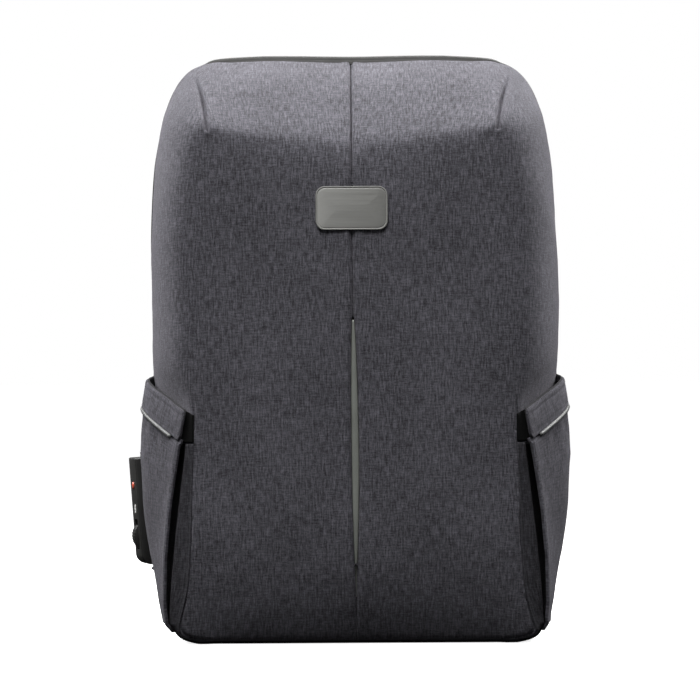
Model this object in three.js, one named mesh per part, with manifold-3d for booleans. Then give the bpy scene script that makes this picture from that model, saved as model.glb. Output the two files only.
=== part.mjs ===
// A laptop backpack: a cloth bag with a folded top, a plate on its front, two side pockets and a zip lock.
// Millimetres, +Z up, +X to the right seen from the front, +Y from the front towards the wearer's back.
// The origin lies on the flat face that the bag stands on, on its centre line.
import * as THREE from "three";
import { mergeVertices } from "three/addons/utils/BufferGeometryUtils.js";
import Module from "manifold-3d";

const wasm = await Module();
wasm.setup();

// Driving dimensions
const HEIGHT = 450;
const GAP = 0.3; // clearance between neighbouring pieces
const STEPS = 3; // facets for each interval of the outline
const FRONT_WALL = 2.6; // foam-backed cloth
const POCKET_WALL = 2.2;
const SEAM_Y = 22; // the front ends here, at the zip
const ZIP_END_Y = 34;
const BACK_Y = 62; // the padded back starts here
const BACK_FACE_Y = 77.5;
const FACE_Y = -78; // edge of the front face at the floor
const FACE_LEAN = 12; // how far the face leans back over the full height
const FACE_CROWN = 7; // how far the middle of the face stands out
const FACE_TUCK = { depth: 14, height: 95 }; // how far the foot of the face turns under, and over what height
const BASE_TOP = 2.4;

// The right half of the bag's outline from bottom centre to top centre.
// full: at the zip seam. face: at the edge of the front face.
// turn: power of the curve from the one to the other, where 1 is a straight slope and 3 a tight corner.
const OUTLINE = [
  { at: "bottom_centre", full_x: 0, full_z: 3, face_x: 0, face_z: 5.5, turn: 3 },
  { at: "bottom_run", full_x: 106, full_z: 3, face_x: 104, face_z: 5.5, turn: 3 },
  { at: "bottom_end", full_x: 122, full_z: 3.1, face_x: 119, face_z: 5.5, turn: 3 },
  { at: "lower_corner", full_x: 138, full_z: 9.5, face_x: 131.5, face_z: 10.5, turn: 2.4 },
  { at: "pocket_low", full_x: 146.5, full_z: 40, face_x: 126.5, face_z: 46, turn: 1.2 },
  { at: "pocket_mid", full_x: 151.5, full_z: 115, face_x: 123.3, face_z: 117, turn: 1.05 },
  { at: "pocket_high", full_x: 153.5, full_z: 178, face_x: 122, face_z: 178, turn: 1.05 },
  { at: "waist", full_x: 154.5, full_z: 216, face_x: 122, face_z: 214, turn: 2 },
  { at: "side", full_x: 156, full_z: 290, face_x: 120, face_z: 285, turn: 2.3 },
  { at: "shoulder_low", full_x: 151.5, full_z: 368, face_x: 116, face_z: 350, turn: 2.2 },
  { at: "shoulder", full_x: 143.1, full_z: 408, face_x: 114.5, face_z: 378, turn: 1.9 },
  { at: "top_corner", full_x: 131.2, full_z: 430.6, face_x: 109.5, face_z: 388.5, turn: 1.35 },
  { at: "top_bend", full_x: 116.8, full_z: 440.8, face_x: 92, face_z: 386.8, turn: 1.2 },
  { at: "top_end", full_x: 84, full_z: 446, face_x: 60, face_z: 381.5, turn: 1.15 },
  { at: "top_centre", full_x: 0, full_z: 446, face_x: 0, face_z: 376, turn: 1.15 },
];
const COLUMNS = (OUTLINE.length - 1) * STEPS;
const DEPTHS = [0, 0.22, 0.45, 0.66, 0.83, 0.95, 1]; // from the zip seam to the edge of the face
const FACE_STEPS = [0.35, 0.7, 1]; // from the edge of the face to the centre seam
const SPINE = { low: 60, high: 345 }; // where the face's columns meet the centre seam

// Centre insert, plate and darts
const INSERT = {
  low: 34, high: 246.5, half_width: 2.8, taper_low: 0.9, taper_high: 0.45, thickness: 1.2, recess: 0.7,
};
const PLATE = { width: 54.3, height: 33, corner: 7, base: 1.5, rim: 2, rim_height: 0.7, z: 328.6 };
const DART = { radius: 1.1, sides: 6, steps: 8 };
const DART_LINE = [
  { x: 119, z: 429 },
  { x: 115, z: 418 },
  { x: 111.5, z: 404 },
  { x: 110, z: 389.5 },
];

// Zip, base and back
const ZIP = { start_row: 4, thickness: 1.6, seat: 0.3, side_dome: 0.8, top_dome: 3.2 };
const GUSSET_WALL = 2.4;
const BASE = { half_width: 124, front: -60, back: 61, corner: 20, bevel: 0.8 };
const BACK_RINGS = [
  { y: BACK_Y + GAP, inset: 0 },
  { y: 68.5, inset: -0.6 },
  { y: 74.5, inset: 3 },
  { y: BACK_FACE_Y, inset: 10 },
];

// The right pocket, level by level: the front edge, the widest point and the edge sewn beside the zip.
const POCKET_WIDE_Y = -8;
const POCKET_SEWN_Y = 19;
const POCKET = [
  { at: "foot", front_x: 138, front_y: -57, front_z: 8, wide_x: 141, wide_z: 9, sewn_z: 10.5 },
  { at: "heel", front_x: 144, front_y: -62, front_z: 15, wide_x: 147.5, wide_z: 15, sewn_z: 15 },
  { at: "low", front_x: 145.5, front_y: -65, front_z: 32, wide_x: 150.8, wide_z: 32, sewn_z: 32 },
  { at: "belly_low", front_x: 144.5, front_y: -67, front_z: 66, wide_x: 156.3, wide_z: 68, sewn_z: 68 },
  { at: "belly", front_x: 141, front_y: -69, front_z: 102, wide_x: 161.3, wide_z: 106, sewn_z: 106 },
  { at: "swell", front_x: 136.3, front_y: -71, front_z: 132, wide_x: 164, wide_z: 142, sewn_z: 144 },
  { at: "hem", front_x: 133, front_y: -72.5, front_z: 152.5, wide_x: 163.2, wide_z: 178, sewn_z: 182 },
  { at: "rim", front_x: 128.6, front_y: -74, front_z: 176.2, wide_x: 160.2, wide_z: 198.5, sewn_z: 202 },
];
const POCKET_ACROSS = 10; // facets from the front edge to the sewn edge
const CUFF_PROUD = 0.6;
const HEM_ROOM = 0.08; // levels that panel and cuff each leave free for the piping at the hem
const PIPING = { radius: 1.4, sides: 8, from: 0.09, out: -0.1 };
const PLEAT = { wall: 1.4, slack: 0.9, meets: 0.16, seam_depth: 0.985, valley_depth: 0.87 };
const ELASTIC = { wall: 1.2, slack: 0.4, seam_depth: 0.99 };

// Lock on the left side. Its own frame: +Z along its length, -X out of its face, +Y across its width.
const LOCK = {
  x: -156.3, y: 41, z: 98.9, yaw: 11.5, lean: -4,
  length: 83, width: 30, thick: 14.5, sink: 14, end_round: 8, edge: 1.4,
};
const CYLINDER = { radius: 3.5, depth: 7, z: 2, clear: 0.35, key_width: 1.2, key_length: 4.6, key_depth: 3, sides: 24 };
const INDICATOR = { radius: 2.2, height: 0.9, z: 20, sides: 16 };
const SLIDER = { z: -19.6, length: 17.5, width: 12, proud: 2.7, foot: 3.4, clear: 0.4, room_up: 4.6, room_down: 1.4 };

// Zip pulls: a slider block on the zip and a tab into the lock
const PULLS = [
  { name: "zip_pull_upper", z: 151.3, tab_drop: -8.6, tab_out: 8 },
  { name: "zip_pull_lower", z: 50.8, tab_drop: 4, tab_out: 4.5 },
];
const PULL = { width: 8, length: 9, height: 3.6, tab_width: 5, tab_thick: 1.8 };

// Straps and handle on the back, right side
const STRAP = { width: 62, thick: 11, sides: 16, stations: 14 };
const STRAP_LINE = [
  { x: 56, y: 83, z: 400 },
  { x: 58, y: 101, z: 372 },
  { x: 62, y: 126, z: 330 },
  { x: 69, y: 141, z: 275 },
  { x: 77, y: 140, z: 218 },
  { x: 85, y: 126, z: 168 },
];
const WEB = { width: 25, thick: 1.6, sides: 8, stations: 9 };
const WEB_LINE = [
  { x: 98, y: 103, z: 112 },
  { x: 112, y: 89, z: 70 },
  { x: 118, y: 79.6, z: 46 },
  { x: 120, y: 78.7, z: 30 },
];
const ADJUSTER = { width: 33, height: 17, thick: 5, bar: 4, corner: 3 };
const HANDLE = { height: 24, thick: 3.2, sides: 8, stations: 16, z: 426 };
const HANDLE_LINE = [
  { x: -62, y: 79.6 },
  { x: -46, y: 80.4 },
  { x: -28, y: 93 },
  { x: 0, y: 99 },
  { x: 28, y: 93 },
  { x: 46, y: 80.4 },
  { x: 62, y: 79.6 },
];

const { lerp, degToRad } = THREE.MathUtils;
const vector = (x, y, z) => new THREE.Vector3(x, y, z);
const range = (count) => Array.from({ length: count }, (_, i) => i);

// Closed meshes

// A geometry from points and index triples, turned so that its faces point out.
function closedGeometry(points, triangles) {
  let volume = 0;
  for (const [a, b, c] of triangles) {
    volume += points[a].dot(points[b].clone().cross(points[c]));
  }
  const facing = volume < 0 ? triangles.map(([a, b, c]) => [a, c, b]) : triangles;
  const geometry = new THREE.BufferGeometry().setFromPoints(points);
  geometry.setIndex(facing.flat());
  return geometry;
}

const BAG_MIDDLE = vector(0, 0, HEIGHT / 2);

// Normals of a grid of points that point away from the middle of the bag.
function gridNormals(grid, wrap) {
  const rows = grid.length;
  const normals = grid.map((row, i) =>
    row.map((_, j) => {
      const before = grid[wrap ? (i + rows - 1) % rows : Math.max(i - 1, 0)][j];
      const after = grid[wrap ? (i + 1) % rows : Math.min(i + 1, rows - 1)][j];
      const left = row[Math.max(j - 1, 0)];
      const right = row[Math.min(j + 1, row.length - 1)];
      const along = after.clone().sub(before);
      return along.cross(right.clone().sub(left)).normalize();
    }),
  );
  let outward = 0;
  grid.forEach((row, i) => row.forEach((p, j) => (outward += normals[i][j].dot(p.clone().sub(BAG_MIDDLE)))));
  if (outward < 0) normals.flat().forEach((normal) => normal.negate());
  return normals;
}

// A wall of cloth: a grid of points on its outer side, and the same grid moved in by its thickness.
// fit is applied to every point of both sides.
function clothWall(grid, thickness, { wrap = false, fit = (point) => point } = {}) {
  const rows = grid.length;
  const columns = grid[0].length;
  const normals = gridNormals(grid, wrap);
  const inside = grid.map((row, i) => row.map((p, j) => p.clone().addScaledVector(normals[i][j], -thickness)));
  const points = [...grid.flat().map((p) => p.clone()), ...inside.flat()].map(fit);
  const under = rows * columns;
  const at = (i, j) => (i % rows) * columns + j;
  const triangles = [];
  const quad = (a, b, c, d) => triangles.push([a, b, c], [a, c, d]);
  const spans = wrap ? rows : rows - 1;
  for (const i of range(spans)) {
    for (const j of range(columns - 1)) {
      const [a, b, c, d] = [at(i, j), at(i + 1, j), at(i + 1, j + 1), at(i, j + 1)];
      quad(a, b, c, d);
      quad(d + under, c + under, b + under, a + under);
    }
    const [a, b] = [at(i, 0), at(i + 1, 0)];
    quad(b, a, a + under, b + under);
    const [c, d] = [at(i + 1, columns - 1), at(i, columns - 1)];
    quad(d, c, c + under, d + under);
  }
  if (!wrap) {
    for (const j of range(columns - 1)) {
      const [a, d] = [at(0, j), at(0, j + 1)];
      quad(a, d, d + under, a + under);
      const [b, c] = [at(rows - 1, j), at(rows - 1, j + 1)];
      quad(c, b, b + under, c + under);
    }
  }
  return closedGeometry(points, triangles);
}

// A solid lofted through closed rings of the same count, with a flat fan over each end.
function loftSolid(rings) {
  const count = rings[0].length;
  const points = rings.flat();
  const triangles = [];
  for (const i of range(rings.length - 1)) {
    for (const j of range(count)) {
      const [a, b] = [i * count + j, i * count + ((j + 1) % count)];
      triangles.push([a, b, b + count], [a, b + count, a + count]);
    }
  }
  for (const [ring, flip] of [[0, true], [rings.length - 1, false]]) {
    const middle = points.length;
    const sum = rings[ring].reduce((total, p) => total.add(p), vector(0, 0, 0));
    points.push(sum.divideScalar(count));
    for (const j of range(count)) {
      const [a, b] = [ring * count + j, ring * count + ((j + 1) % count)];
      triangles.push(flip ? [middle, b, a] : [middle, a, b]);
    }
  }
  return closedGeometry(points, triangles);
}

// A band of flat oval section along a smooth line, as wide as the direction across says.
function band(line, across, { width, thick, sides, stations }, widthAt = () => 1) {
  const curve = new THREE.CatmullRomCurve3(line.map(({ x, y, z }) => vector(x, y, z)), false, "centripetal");
  const rings = range(stations + 1).map((station) => {
    const t = station / stations;
    const centre = curve.getPoint(t);
    const tangent = curve.getTangent(t);
    const side = across.clone().addScaledVector(tangent, -across.dot(tangent)).normalize();
    const up = tangent.clone().cross(side);
    return range(sides).map((k) => {
      const angle = ((k + 0.5) / sides) * 2 * Math.PI;
      const bulge = (value) => Math.sign(value) * Math.abs(value) ** 0.5; // a rounded oblong
      return centre
        .clone()
        .addScaledVector(side, (width / 2) * widthAt(t) * bulge(Math.cos(angle)))
        .addScaledVector(up, (thick / 2) * bulge(Math.sin(angle)));
    });
  });
  return loftSolid(rings);
}

// A round tube along points, closed at both ends.
function tube(points, radius, sides) {
  const curve = new THREE.CatmullRomCurve3(points);
  const section = new THREE.Shape(
    range(sides).map((k) => {
      const angle = (k / sides) * 2 * Math.PI;
      return new THREE.Vector2(radius * Math.cos(angle), radius * Math.sin(angle));
    }),
  );
  return new THREE.ExtrudeGeometry(section, { steps: points.length - 1, extrudePath: curve, bevelEnabled: false });
}

// Joins and cuts

function toSolid(geometry) {
  const bare = new THREE.BufferGeometry().setAttribute("position", geometry.getAttribute("position").clone());
  if (geometry.index) bare.setIndex(geometry.index.clone());
  const merged = mergeVertices(bare, 1e-4);
  const vertProperties = new Float32Array(merged.attributes.position.array);
  const triVerts = new Uint32Array(merged.index.array);
  return new wasm.Manifold(new wasm.Mesh({ numProp: 3, vertProperties, triVerts }));
}

function toGeometry(solid) {
  const { vertProperties, triVerts } = solid.getMesh();
  const geometry = new THREE.BufferGeometry();
  geometry.setAttribute("position", new THREE.BufferAttribute(new Float32Array(vertProperties), 3));
  geometry.setIndex(new THREE.BufferAttribute(new Uint32Array(triVerts), 1));
  return geometry;
}

const joined = (...parts) => toGeometry(parts.map(toSolid).reduce((a, b) => a.add(b)));
const cut = (whole, ...tools) => toGeometry(tools.map(toSolid).reduce((a, b) => a.subtract(b), toSolid(whole)));

// The bag's form

const turned = (share, power) => 1 - (1 - share ** power) ** (1 / power);

// The edge of the face at a height: it leans back, and its foot turns under.
function faceY(z) {
  const tuck = FACE_TUCK.depth * Math.max(0, 1 - z / FACE_TUCK.height) ** 2;
  return FACE_Y + (FACE_LEAN * z) / HEIGHT + tuck;
}

// The right half of the outline at a share of the depth from the zip seam, 0, to the edge of the face, 1.
function outlineAt(depth) {
  const points = OUTLINE.map((row) => {
    const share = turned(depth, row.turn);
    const z = lerp(row.full_z, row.face_z, share);
    return vector(lerp(row.full_x, row.face_x, share), lerp(SEAM_Y, faceY(z), depth), z);
  });
  return new THREE.CatmullRomCurve3(points, false, "centripetal");
}

// The point of the bag's side at a height and a share of the depth.
function sidePoint(z, depth) {
  const curve = outlineAt(depth);
  let [low, high] = [0, 1];
  for (const _ of range(40)) {
    const middle = (low + high) / 2;
    if (curve.getPoint(middle).z < z) low = middle;
    else high = middle;
  }
  return curve.getPoint(low);
}

// The same point moved straight out of the side, level with the floor.
function sideOut(z, depth, out) {
  const point = sidePoint(z, depth);
  const along = sidePoint(z, depth - 0.01).sub(point);
  return point.addScaledVector(vector(along.y, -along.x, 0).normalize(), out);
}

// The whole closed outline at the zip seam, moved out by a distance that may depend on the normal.
function fullOutline(out = () => 0) {
  const curve = outlineAt(0);
  const right = range(COLUMNS + 1).map((i) => curve.getPoint(i / COLUMNS));
  const left = right.slice(1, -1).reverse().map((p) => vector(-p.x, p.y, p.z));
  const loop = [...right, ...left];
  return loop.map((p, i) => {
    const after = loop[(i + 1) % loop.length];
    const before = loop[(i + loop.length - 1) % loop.length];
    const normal = vector(after.z - before.z, 0, before.x - after.x).normalize();
    return p.clone().addScaledVector(normal, out(normal));
  });
}

const atDepth = (loop, y) => loop.map((p) => vector(p.x, y, p.z));

// Half the width of the slot that the centre insert shows through.
function slotHalf(z) {
  const share = (z - INSERT.low) / (INSERT.high - INSERT.low);
  const taper = lerp(INSERT.taper_low, INSERT.taper_high, THREE.MathUtils.smoothstep(share, 0.3, 0.7));
  return share > 0 && share < 1 ? INSERT.half_width * Math.sin(Math.PI * share) ** taper : 0;
}

// Points of the right half of the front, from the zip seam round the side and over the face to the centre seam.
function frontGrid() {
  const outlines = DEPTHS.map(outlineAt);
  return range(COLUMNS + 1).map((column) => {
    const along = column / COLUMNS;
    const side = outlines.map((curve) => curve.getPoint(along));
    const edge = side.at(-1);
    const spineZ = lerp(SPINE.low, SPINE.high, along);
    const face = FACE_STEPS.map((share) => {
      const z = lerp(edge.z, spineZ, share);
      return vector(edge.x * (1 - share), faceY(z) - FACE_CROWN * (1 - (1 - share) ** 2), z);
    });
    return [...side, ...face];
  });
}

// Front of the face at a height on the centre seam.
const spineY = (z) => faceY(z) - FACE_CROWN;

// The dart's line on the front's surface, found by looking along +Y at the grid of the front.
function dartPath() {
  const corners = DART_LINE.map(({ x, z }) => {
    let best = { miss: Infinity };
    for (const depth of range(101).map((i) => i / 100)) {
      const p = sidePoint(z, depth);
      const miss = Math.abs(p.x - x);
      if (miss < best.miss) best = { miss, point: p };
    }
    return best.point;
  });
  return new THREE.CatmullRomCurve3(corners).getPoints(DART.steps);
}

function frontPanel() {
  const keepClear = (p) => {
    p.x = Math.max(p.x, slotHalf(p.z) + GAP / 2);
    return p;
  };
  const panel = clothWall(frontGrid(), FRONT_WALL, { fit: keepClear });
  return cut(panel, tube(dartPath(), DART.radius, DART.sides));
}

function reflectiveInsert() {
  const heights = range(25).map((i) => lerp(INSERT.low + 3, INSERT.high - 3, i / 24));
  const grid = heights.map((z) => {
    const half = slotHalf(z) - GAP / 2;
    return [-half, half].map((x) => vector(x, spineY(z) + INSERT.recess, z));
  });
  return clothWall(grid, INSERT.thickness);
}

function roundedOblong(width, height, corner) {
  const [w, h] = [width / 2, height / 2];
  const shape = new THREE.Shape();
  shape.absarc(w - corner, h - corner, corner, 0, Math.PI / 2);
  shape.absarc(corner - w, h - corner, corner, Math.PI / 2, Math.PI);
  shape.absarc(corner - w, corner - h, corner, Math.PI, 1.5 * Math.PI);
  shape.absarc(w - corner, corner - h, corner, 1.5 * Math.PI, 2 * Math.PI);
  return shape;
}

// The plate lies in its own XY plane, with +Z out of its face.
function namePlate() {
  const { width, height, corner, base, rim, rim_height } = PLATE;
  const rounds = { bevelEnabled: false, curveSegments: 6 };
  const floor = new THREE.ExtrudeGeometry(roundedOblong(width, height, corner), { depth: base, ...rounds });
  const ring = roundedOblong(width, height, corner);
  ring.holes.push(new THREE.Path(roundedOblong(width - 2 * rim, height - 2 * rim, corner - rim).getPoints(6)));
  const raised = new THREE.ExtrudeGeometry(ring, { depth: base + rim_height, ...rounds });
  return joined(floor, raised);
}

function zipBand() {
  const dome = (normal) => ZIP.seat + ZIP.side_dome + (ZIP.top_dome - ZIP.side_dome) * Math.max(normal.z, 0);
  const start = ZIP.start_row * STEPS;
  const over = (loop) => loop.slice(start, 2 * COLUMNS - start + 1);
  const seat = over(fullOutline(() => ZIP.seat));
  const crown = over(fullOutline(dome));
  const [front, back] = [SEAM_Y + GAP, ZIP_END_Y - GAP];
  const grid = seat.map((p, i) => [
    vector(p.x, front, p.z),
    vector(crown[i].x, lerp(front, back, 0.3), crown[i].z),
    vector(crown[i].x, lerp(front, back, 0.7), crown[i].z),
    vector(p.x, back, p.z),
  ]);
  return clothWall(grid, ZIP.thickness);
}

function backGusset() {
  const start = ZIP.start_row * STEPS;
  const grid = fullOutline().map((p, i) => {
    const besideZip = i >= start && i <= 2 * COLUMNS - start;
    return [vector(p.x, besideZip ? ZIP_END_Y : SEAM_Y + GAP, p.z), vector(p.x, BACK_Y, p.z)];
  });
  return clothWall(grid, GUSSET_WALL, { wrap: true });
}

function backPanel() {
  return loftSolid(BACK_RINGS.map(({ y, inset }) => atDepth(fullOutline(() => -inset), y)));
}

function basePanel() {
  const depth = BASE.back - BASE.front;
  const shape = roundedOblong(2 * BASE.half_width, depth, BASE.corner);
  const plate = new THREE.ExtrudeGeometry(shape, {
    depth: BASE_TOP - 2 * BASE.bevel,
    bevelThickness: BASE.bevel,
    bevelSize: BASE.bevel,
    bevelOffset: -BASE.bevel,
    bevelSegments: 1,
    curveSegments: 6,
  });
  return plate.translate(0, (BASE.front + BASE.back) / 2, BASE.bevel);
}

// Pockets

// The line across the pocket at a level between two rows of its table, moved out by a distance.
function pocketLine(level, out = 0) {
  const row = Math.min(Math.floor(level), POCKET.length - 2);
  const share = level - row;
  const [a, b] = [POCKET[row], POCKET[row + 1]];
  const mix = (key) => lerp(a[key], b[key], share);
  const sewn = sidePoint(mix("sewn_z"), (SEAM_Y - POCKET_SEWN_Y) / (SEAM_Y - FACE_Y));
  const sewnX = sewn.x + POCKET_WALL + 3.5 * GAP;
  const [front, wide] = [vector(mix("front_x"), mix("front_y"), mix("front_z")), POCKET_WIDE_Y];
  const belly = vector(Math.max(mix("wide_x"), sewnX), wide, mix("wide_z"));
  const curve = new THREE.CatmullRomCurve3([front, belly, vector(sewnX, POCKET_SEWN_Y, sewn.z)], false, "centripetal");
  return range(POCKET_ACROSS + 1).map((k) => {
    const t = k / POCKET_ACROSS;
    const tangent = curve.getTangent(t);
    const normal = vector(tangent.y, -tangent.x, 0).normalize();
    return curve.getPoint(t).addScaledVector(normal, out);
  });
}

const pocketWall = (levels, out, wall) => clothWall(levels.map((level) => pocketLine(level, out)), wall);
const HEM = POCKET.findIndex(({ at }) => at === "hem");
const RIM = POCKET.length - 1;
const CUFF_START = HEM + HEM_ROOM;

function pocketPanel() {
  const rows = range(HEM * 2).map((i) => i / 2);
  return pocketWall([...rows, HEM - HEM_ROOM], 0, POCKET_WALL);
}

function pocketCuff() {
  const levels = range(4).map((i) => lerp(CUFF_START, RIM, i / 3));
  return pocketWall(levels, CUFF_PROUD, POCKET_WALL + CUFF_PROUD);
}

function pocketPiping() {
  const line = pocketLine(HEM, PIPING.out);
  const curve = new THREE.CatmullRomCurve3(line);
  const points = range(POCKET_ACROSS + 1).map((i) => curve.getPoint(lerp(PIPING.from, 1, i / POCKET_ACROSS)));
  return tube(points, PIPING.radius, PIPING.sides);
}

// The pleat runs from the edge of the front face to the pocket panel, a little behind the panel's front edge.
function pocketGusset() {
  const levels = range(11).map((i) => lerp(1.2, HEM - 0.34, i / 10));
  const grid = levels.map((level) => {
    const line = new THREE.CatmullRomCurve3(pocketLine(level, -POCKET_WALL - 2 * GAP));
    const panel = line.getPoint(PLEAT.meets);
    const out = PLEAT.wall + PLEAT.slack;
    const seam = sideOut(panel.z, PLEAT.seam_depth, out);
    const valley = sideOut(panel.z, PLEAT.valley_depth, out);
    return [seam, valley, panel];
  });
  return clothWall(grid, PLEAT.wall);
}

function pocketElastic() {
  const levels = range(4).map((i) => lerp(CUFF_START, RIM - 0.05, i / 3));
  const grid = levels.map((level) => {
    const cuff = pocketLine(level, -POCKET_WALL - 2 * GAP)[0];
    const seam = sideOut(cuff.z, ELASTIC.seam_depth, ELASTIC.wall + ELASTIC.slack);
    return [seam, cuff];
  });
  return clothWall(grid, ELASTIC.wall);
}

// Lock

const cylinder = (radius, length, sides) => new THREE.CylinderGeometry(radius, radius, length, sides);
const box = (x, y, z) => new THREE.BoxGeometry(x, y, z);

// The side of the lock, drawn in X (out of the bag to the left) and Z, and drawn out across the width.
function lockBlank() {
  const { length, width, thick, sink, end_round, edge } = LOCK;
  const half = length / 2 - edge;
  const outer = -thick + edge;
  const side = new THREE.Shape();
  side.moveTo(sink, -half);
  side.lineTo(sink, half);
  side.lineTo(outer, half);
  side.lineTo(outer, -half + end_round);
  side.absellipse(outer + end_round, -half + end_round, end_round, end_round, Math.PI, 1.5 * Math.PI);
  const blank = new THREE.ExtrudeGeometry(side, {
    depth: width - 2 * edge,
    bevelThickness: edge,
    bevelSize: edge,
    bevelSegments: 2,
    curveSegments: 6,
  });
  return blank.rotateX(Math.PI / 2).translate(0, width / 2 - edge, 0);
}

// The bag's side with its clearance, in the lock's own frame, so that the lock's back follows the bag.
function bagSideCutter(lockFrame) {
  const reach = 90;
  const loop = fullOutline(() => ZIP.seat + ZIP.side_dome + GAP);
  return loftSolid([atDepth(loop, -reach), atDepth(loop, reach)]).applyMatrix4(lockFrame.clone().invert());
}

function lockBody(lockFrame) {
  const bore = cylinder(CYLINDER.radius + CYLINDER.clear, CYLINDER.depth + GAP, CYLINDER.sides).rotateZ(Math.PI / 2);
  bore.translate(-LOCK.thick + (CYLINDER.depth + GAP) / 2 - 0.01, 0, CYLINDER.z);
  const { length, width, foot, clear: room, room_up, room_down } = SLIDER;
  const track = box(2 * (foot + room), width + 2 * room, length + room_up + room_down);
  track.translate(-LOCK.thick, 0, SLIDER.z + (room_up - room_down) / 2);
  return cut(lockBlank(), bore, track, bagSideCutter(lockFrame));
}

function keyCylinder() {
  const plug = cylinder(CYLINDER.radius, CYLINDER.depth, CYLINDER.sides).rotateZ(Math.PI / 2);
  const slot = box(2 * CYLINDER.key_depth, CYLINDER.key_width, CYLINDER.key_length);
  return cut(plug, slot.translate(-CYLINDER.depth / 2, 0, 0));
}

// The slider's arched side, drawn in X and Z and drawn out across its width.
function lockSlider() {
  const { length, width, proud, foot } = SLIDER;
  const arch = new THREE.Shape();
  arch.moveTo(foot, -length / 2);
  arch.lineTo(foot, length / 2);
  arch.lineTo(0.6, length / 2);
  arch.quadraticCurveTo(-2 * proud, 0, 0.6, -length / 2);
  const solid = new THREE.ExtrudeGeometry(arch, { depth: width, bevelEnabled: false, curveSegments: 10 });
  return solid.rotateX(Math.PI / 2).translate(0, width / 2, 0);
}

function lockIndicator() {
  const dome = cylinder(INDICATOR.radius, INDICATOR.height, INDICATOR.sides);
  return dome.rotateZ(Math.PI / 2);
}

// A zip slider on the left side of the bag, with its tab.
function zipPull({ z, tab_drop, tab_out }) {
  const seat = sidePoint(z, 0);
  const x = -(seat.x + ZIP.seat + ZIP.side_dome + 2 * GAP + PULL.height / 2);
  const y = (SEAM_Y + ZIP_END_Y) / 2;
  const block = box(PULL.height, PULL.width, PULL.length).translate(x, y, z);
  const length = Math.hypot(tab_drop, tab_out) + PULL.tab_thick;
  const tab = box(PULL.tab_thick, PULL.tab_width, length);
  tab.rotateY(Math.atan2(-tab_out, tab_drop));
  tab.translate(x - PULL.height / 2 - tab_out / 2 + PULL.tab_thick / 2, y, z + tab_drop / 2);
  return joined(block, tab);
}

// Straps and handle

const ACROSS_STRAP = vector(1, 0, 0.16);

function shoulderStrap() {
  const taper = (t) => 1 - 0.1 * t - 0.3 * Math.max(0, t - 0.85) / 0.15;
  return band(STRAP_LINE, ACROSS_STRAP, STRAP, taper);
}

// Where the adjuster hangs: under the end of the strap, with its own axes across, up and towards the bag.
function adjusterFrame() {
  const [before, end] = STRAP_LINE.slice(-2).map(({ x, y, z }) => vector(x, y, z));
  const up = before.clone().sub(end).normalize();
  const across = ACROSS_STRAP.clone().addScaledVector(up, -ACROSS_STRAP.dot(up)).normalize();
  const inward = across.clone().cross(up);
  const middle = end.clone().addScaledVector(up, -ADJUSTER.height / 2 - 2 * GAP);
  return { middle, across, up, inward };
}

// The webbing lies along the adjuster's inner face and runs down to the foot of the bag.
function strapWebbing() {
  const { middle, up, inward } = adjusterFrame();
  const behind = (ADJUSTER.thick + WEB.thick) / 2 + GAP;
  const half = ADJUSTER.height / 2;
  const start = [half - ADJUSTER.bar, -half].map((rise) =>
    middle.clone().addScaledVector(inward, behind).addScaledVector(up, rise),
  );
  return band([...start, ...WEB_LINE], ACROSS_STRAP, WEB);
}

// The adjuster is a frame that lies in its own XY plane.
function strapAdjuster() {
  const { width, height, thick, bar, corner } = ADJUSTER;
  const frame = roundedOblong(width, height, corner);
  frame.holes.push(new THREE.Path(roundedOblong(width - 2 * bar, height - 2 * bar, 1).getPoints(2)));
  const solid = new THREE.ExtrudeGeometry(frame, { depth: thick, bevelEnabled: false, curveSegments: 3 });
  return solid.translate(0, 0, -thick / 2);
}

function grabHandle() {
  const { height, thick, sides, stations, z } = HANDLE;
  const line = HANDLE_LINE.map(({ x, y }) => ({ x, y, z }));
  return band(line, vector(0, 0, 1), { width: height, thick, sides, stations });
}

// Materials, by the cloth, metal or plastic that they are
const FINISH = {
  melange: { color: 0x3b3a40, roughness: 0.9, metalness: 0 },
  reflective: { color: 0x8f9088, roughness: 0.5, metalness: 0.1 },
  plate: { color: 0x86867f, roughness: 0.35, metalness: 1 },
  coated_zip: { color: 0x3a3a3b, roughness: 0.55, metalness: 0 },
  padding: { color: 0x1d1d20, roughness: 0.95, metalness: 0 },
  base_cloth: { color: 0x222225, roughness: 0.9, metalness: 0 },
  elastic: { color: 0x101012, roughness: 0.85, metalness: 0 },
  webbing: { color: 0x18181a, roughness: 0.8, metalness: 0 },
  lock_plastic: { color: 0x1b1b1b, roughness: 0.45, metalness: 0 },
  lock_metal: { color: 0xc9c9c6, roughness: 0.3, metalness: 1 },
  lock_red: { color: 0xd8584a, roughness: 0.4, metalness: 0 },
};
const materials = Object.fromEntries(
  Object.entries(FINISH).map(([name, look]) => [name, new THREE.MeshStandardMaterial({ name, ...look })]),
);

function piece(name, geometry, finish) {
  const mesh = new THREE.Mesh(geometry, materials[finish]);
  mesh.name = name;
  return mesh;
}

// Assembly
const backpack = new THREE.Group();
backpack.name = "laptop_backpack";

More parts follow.
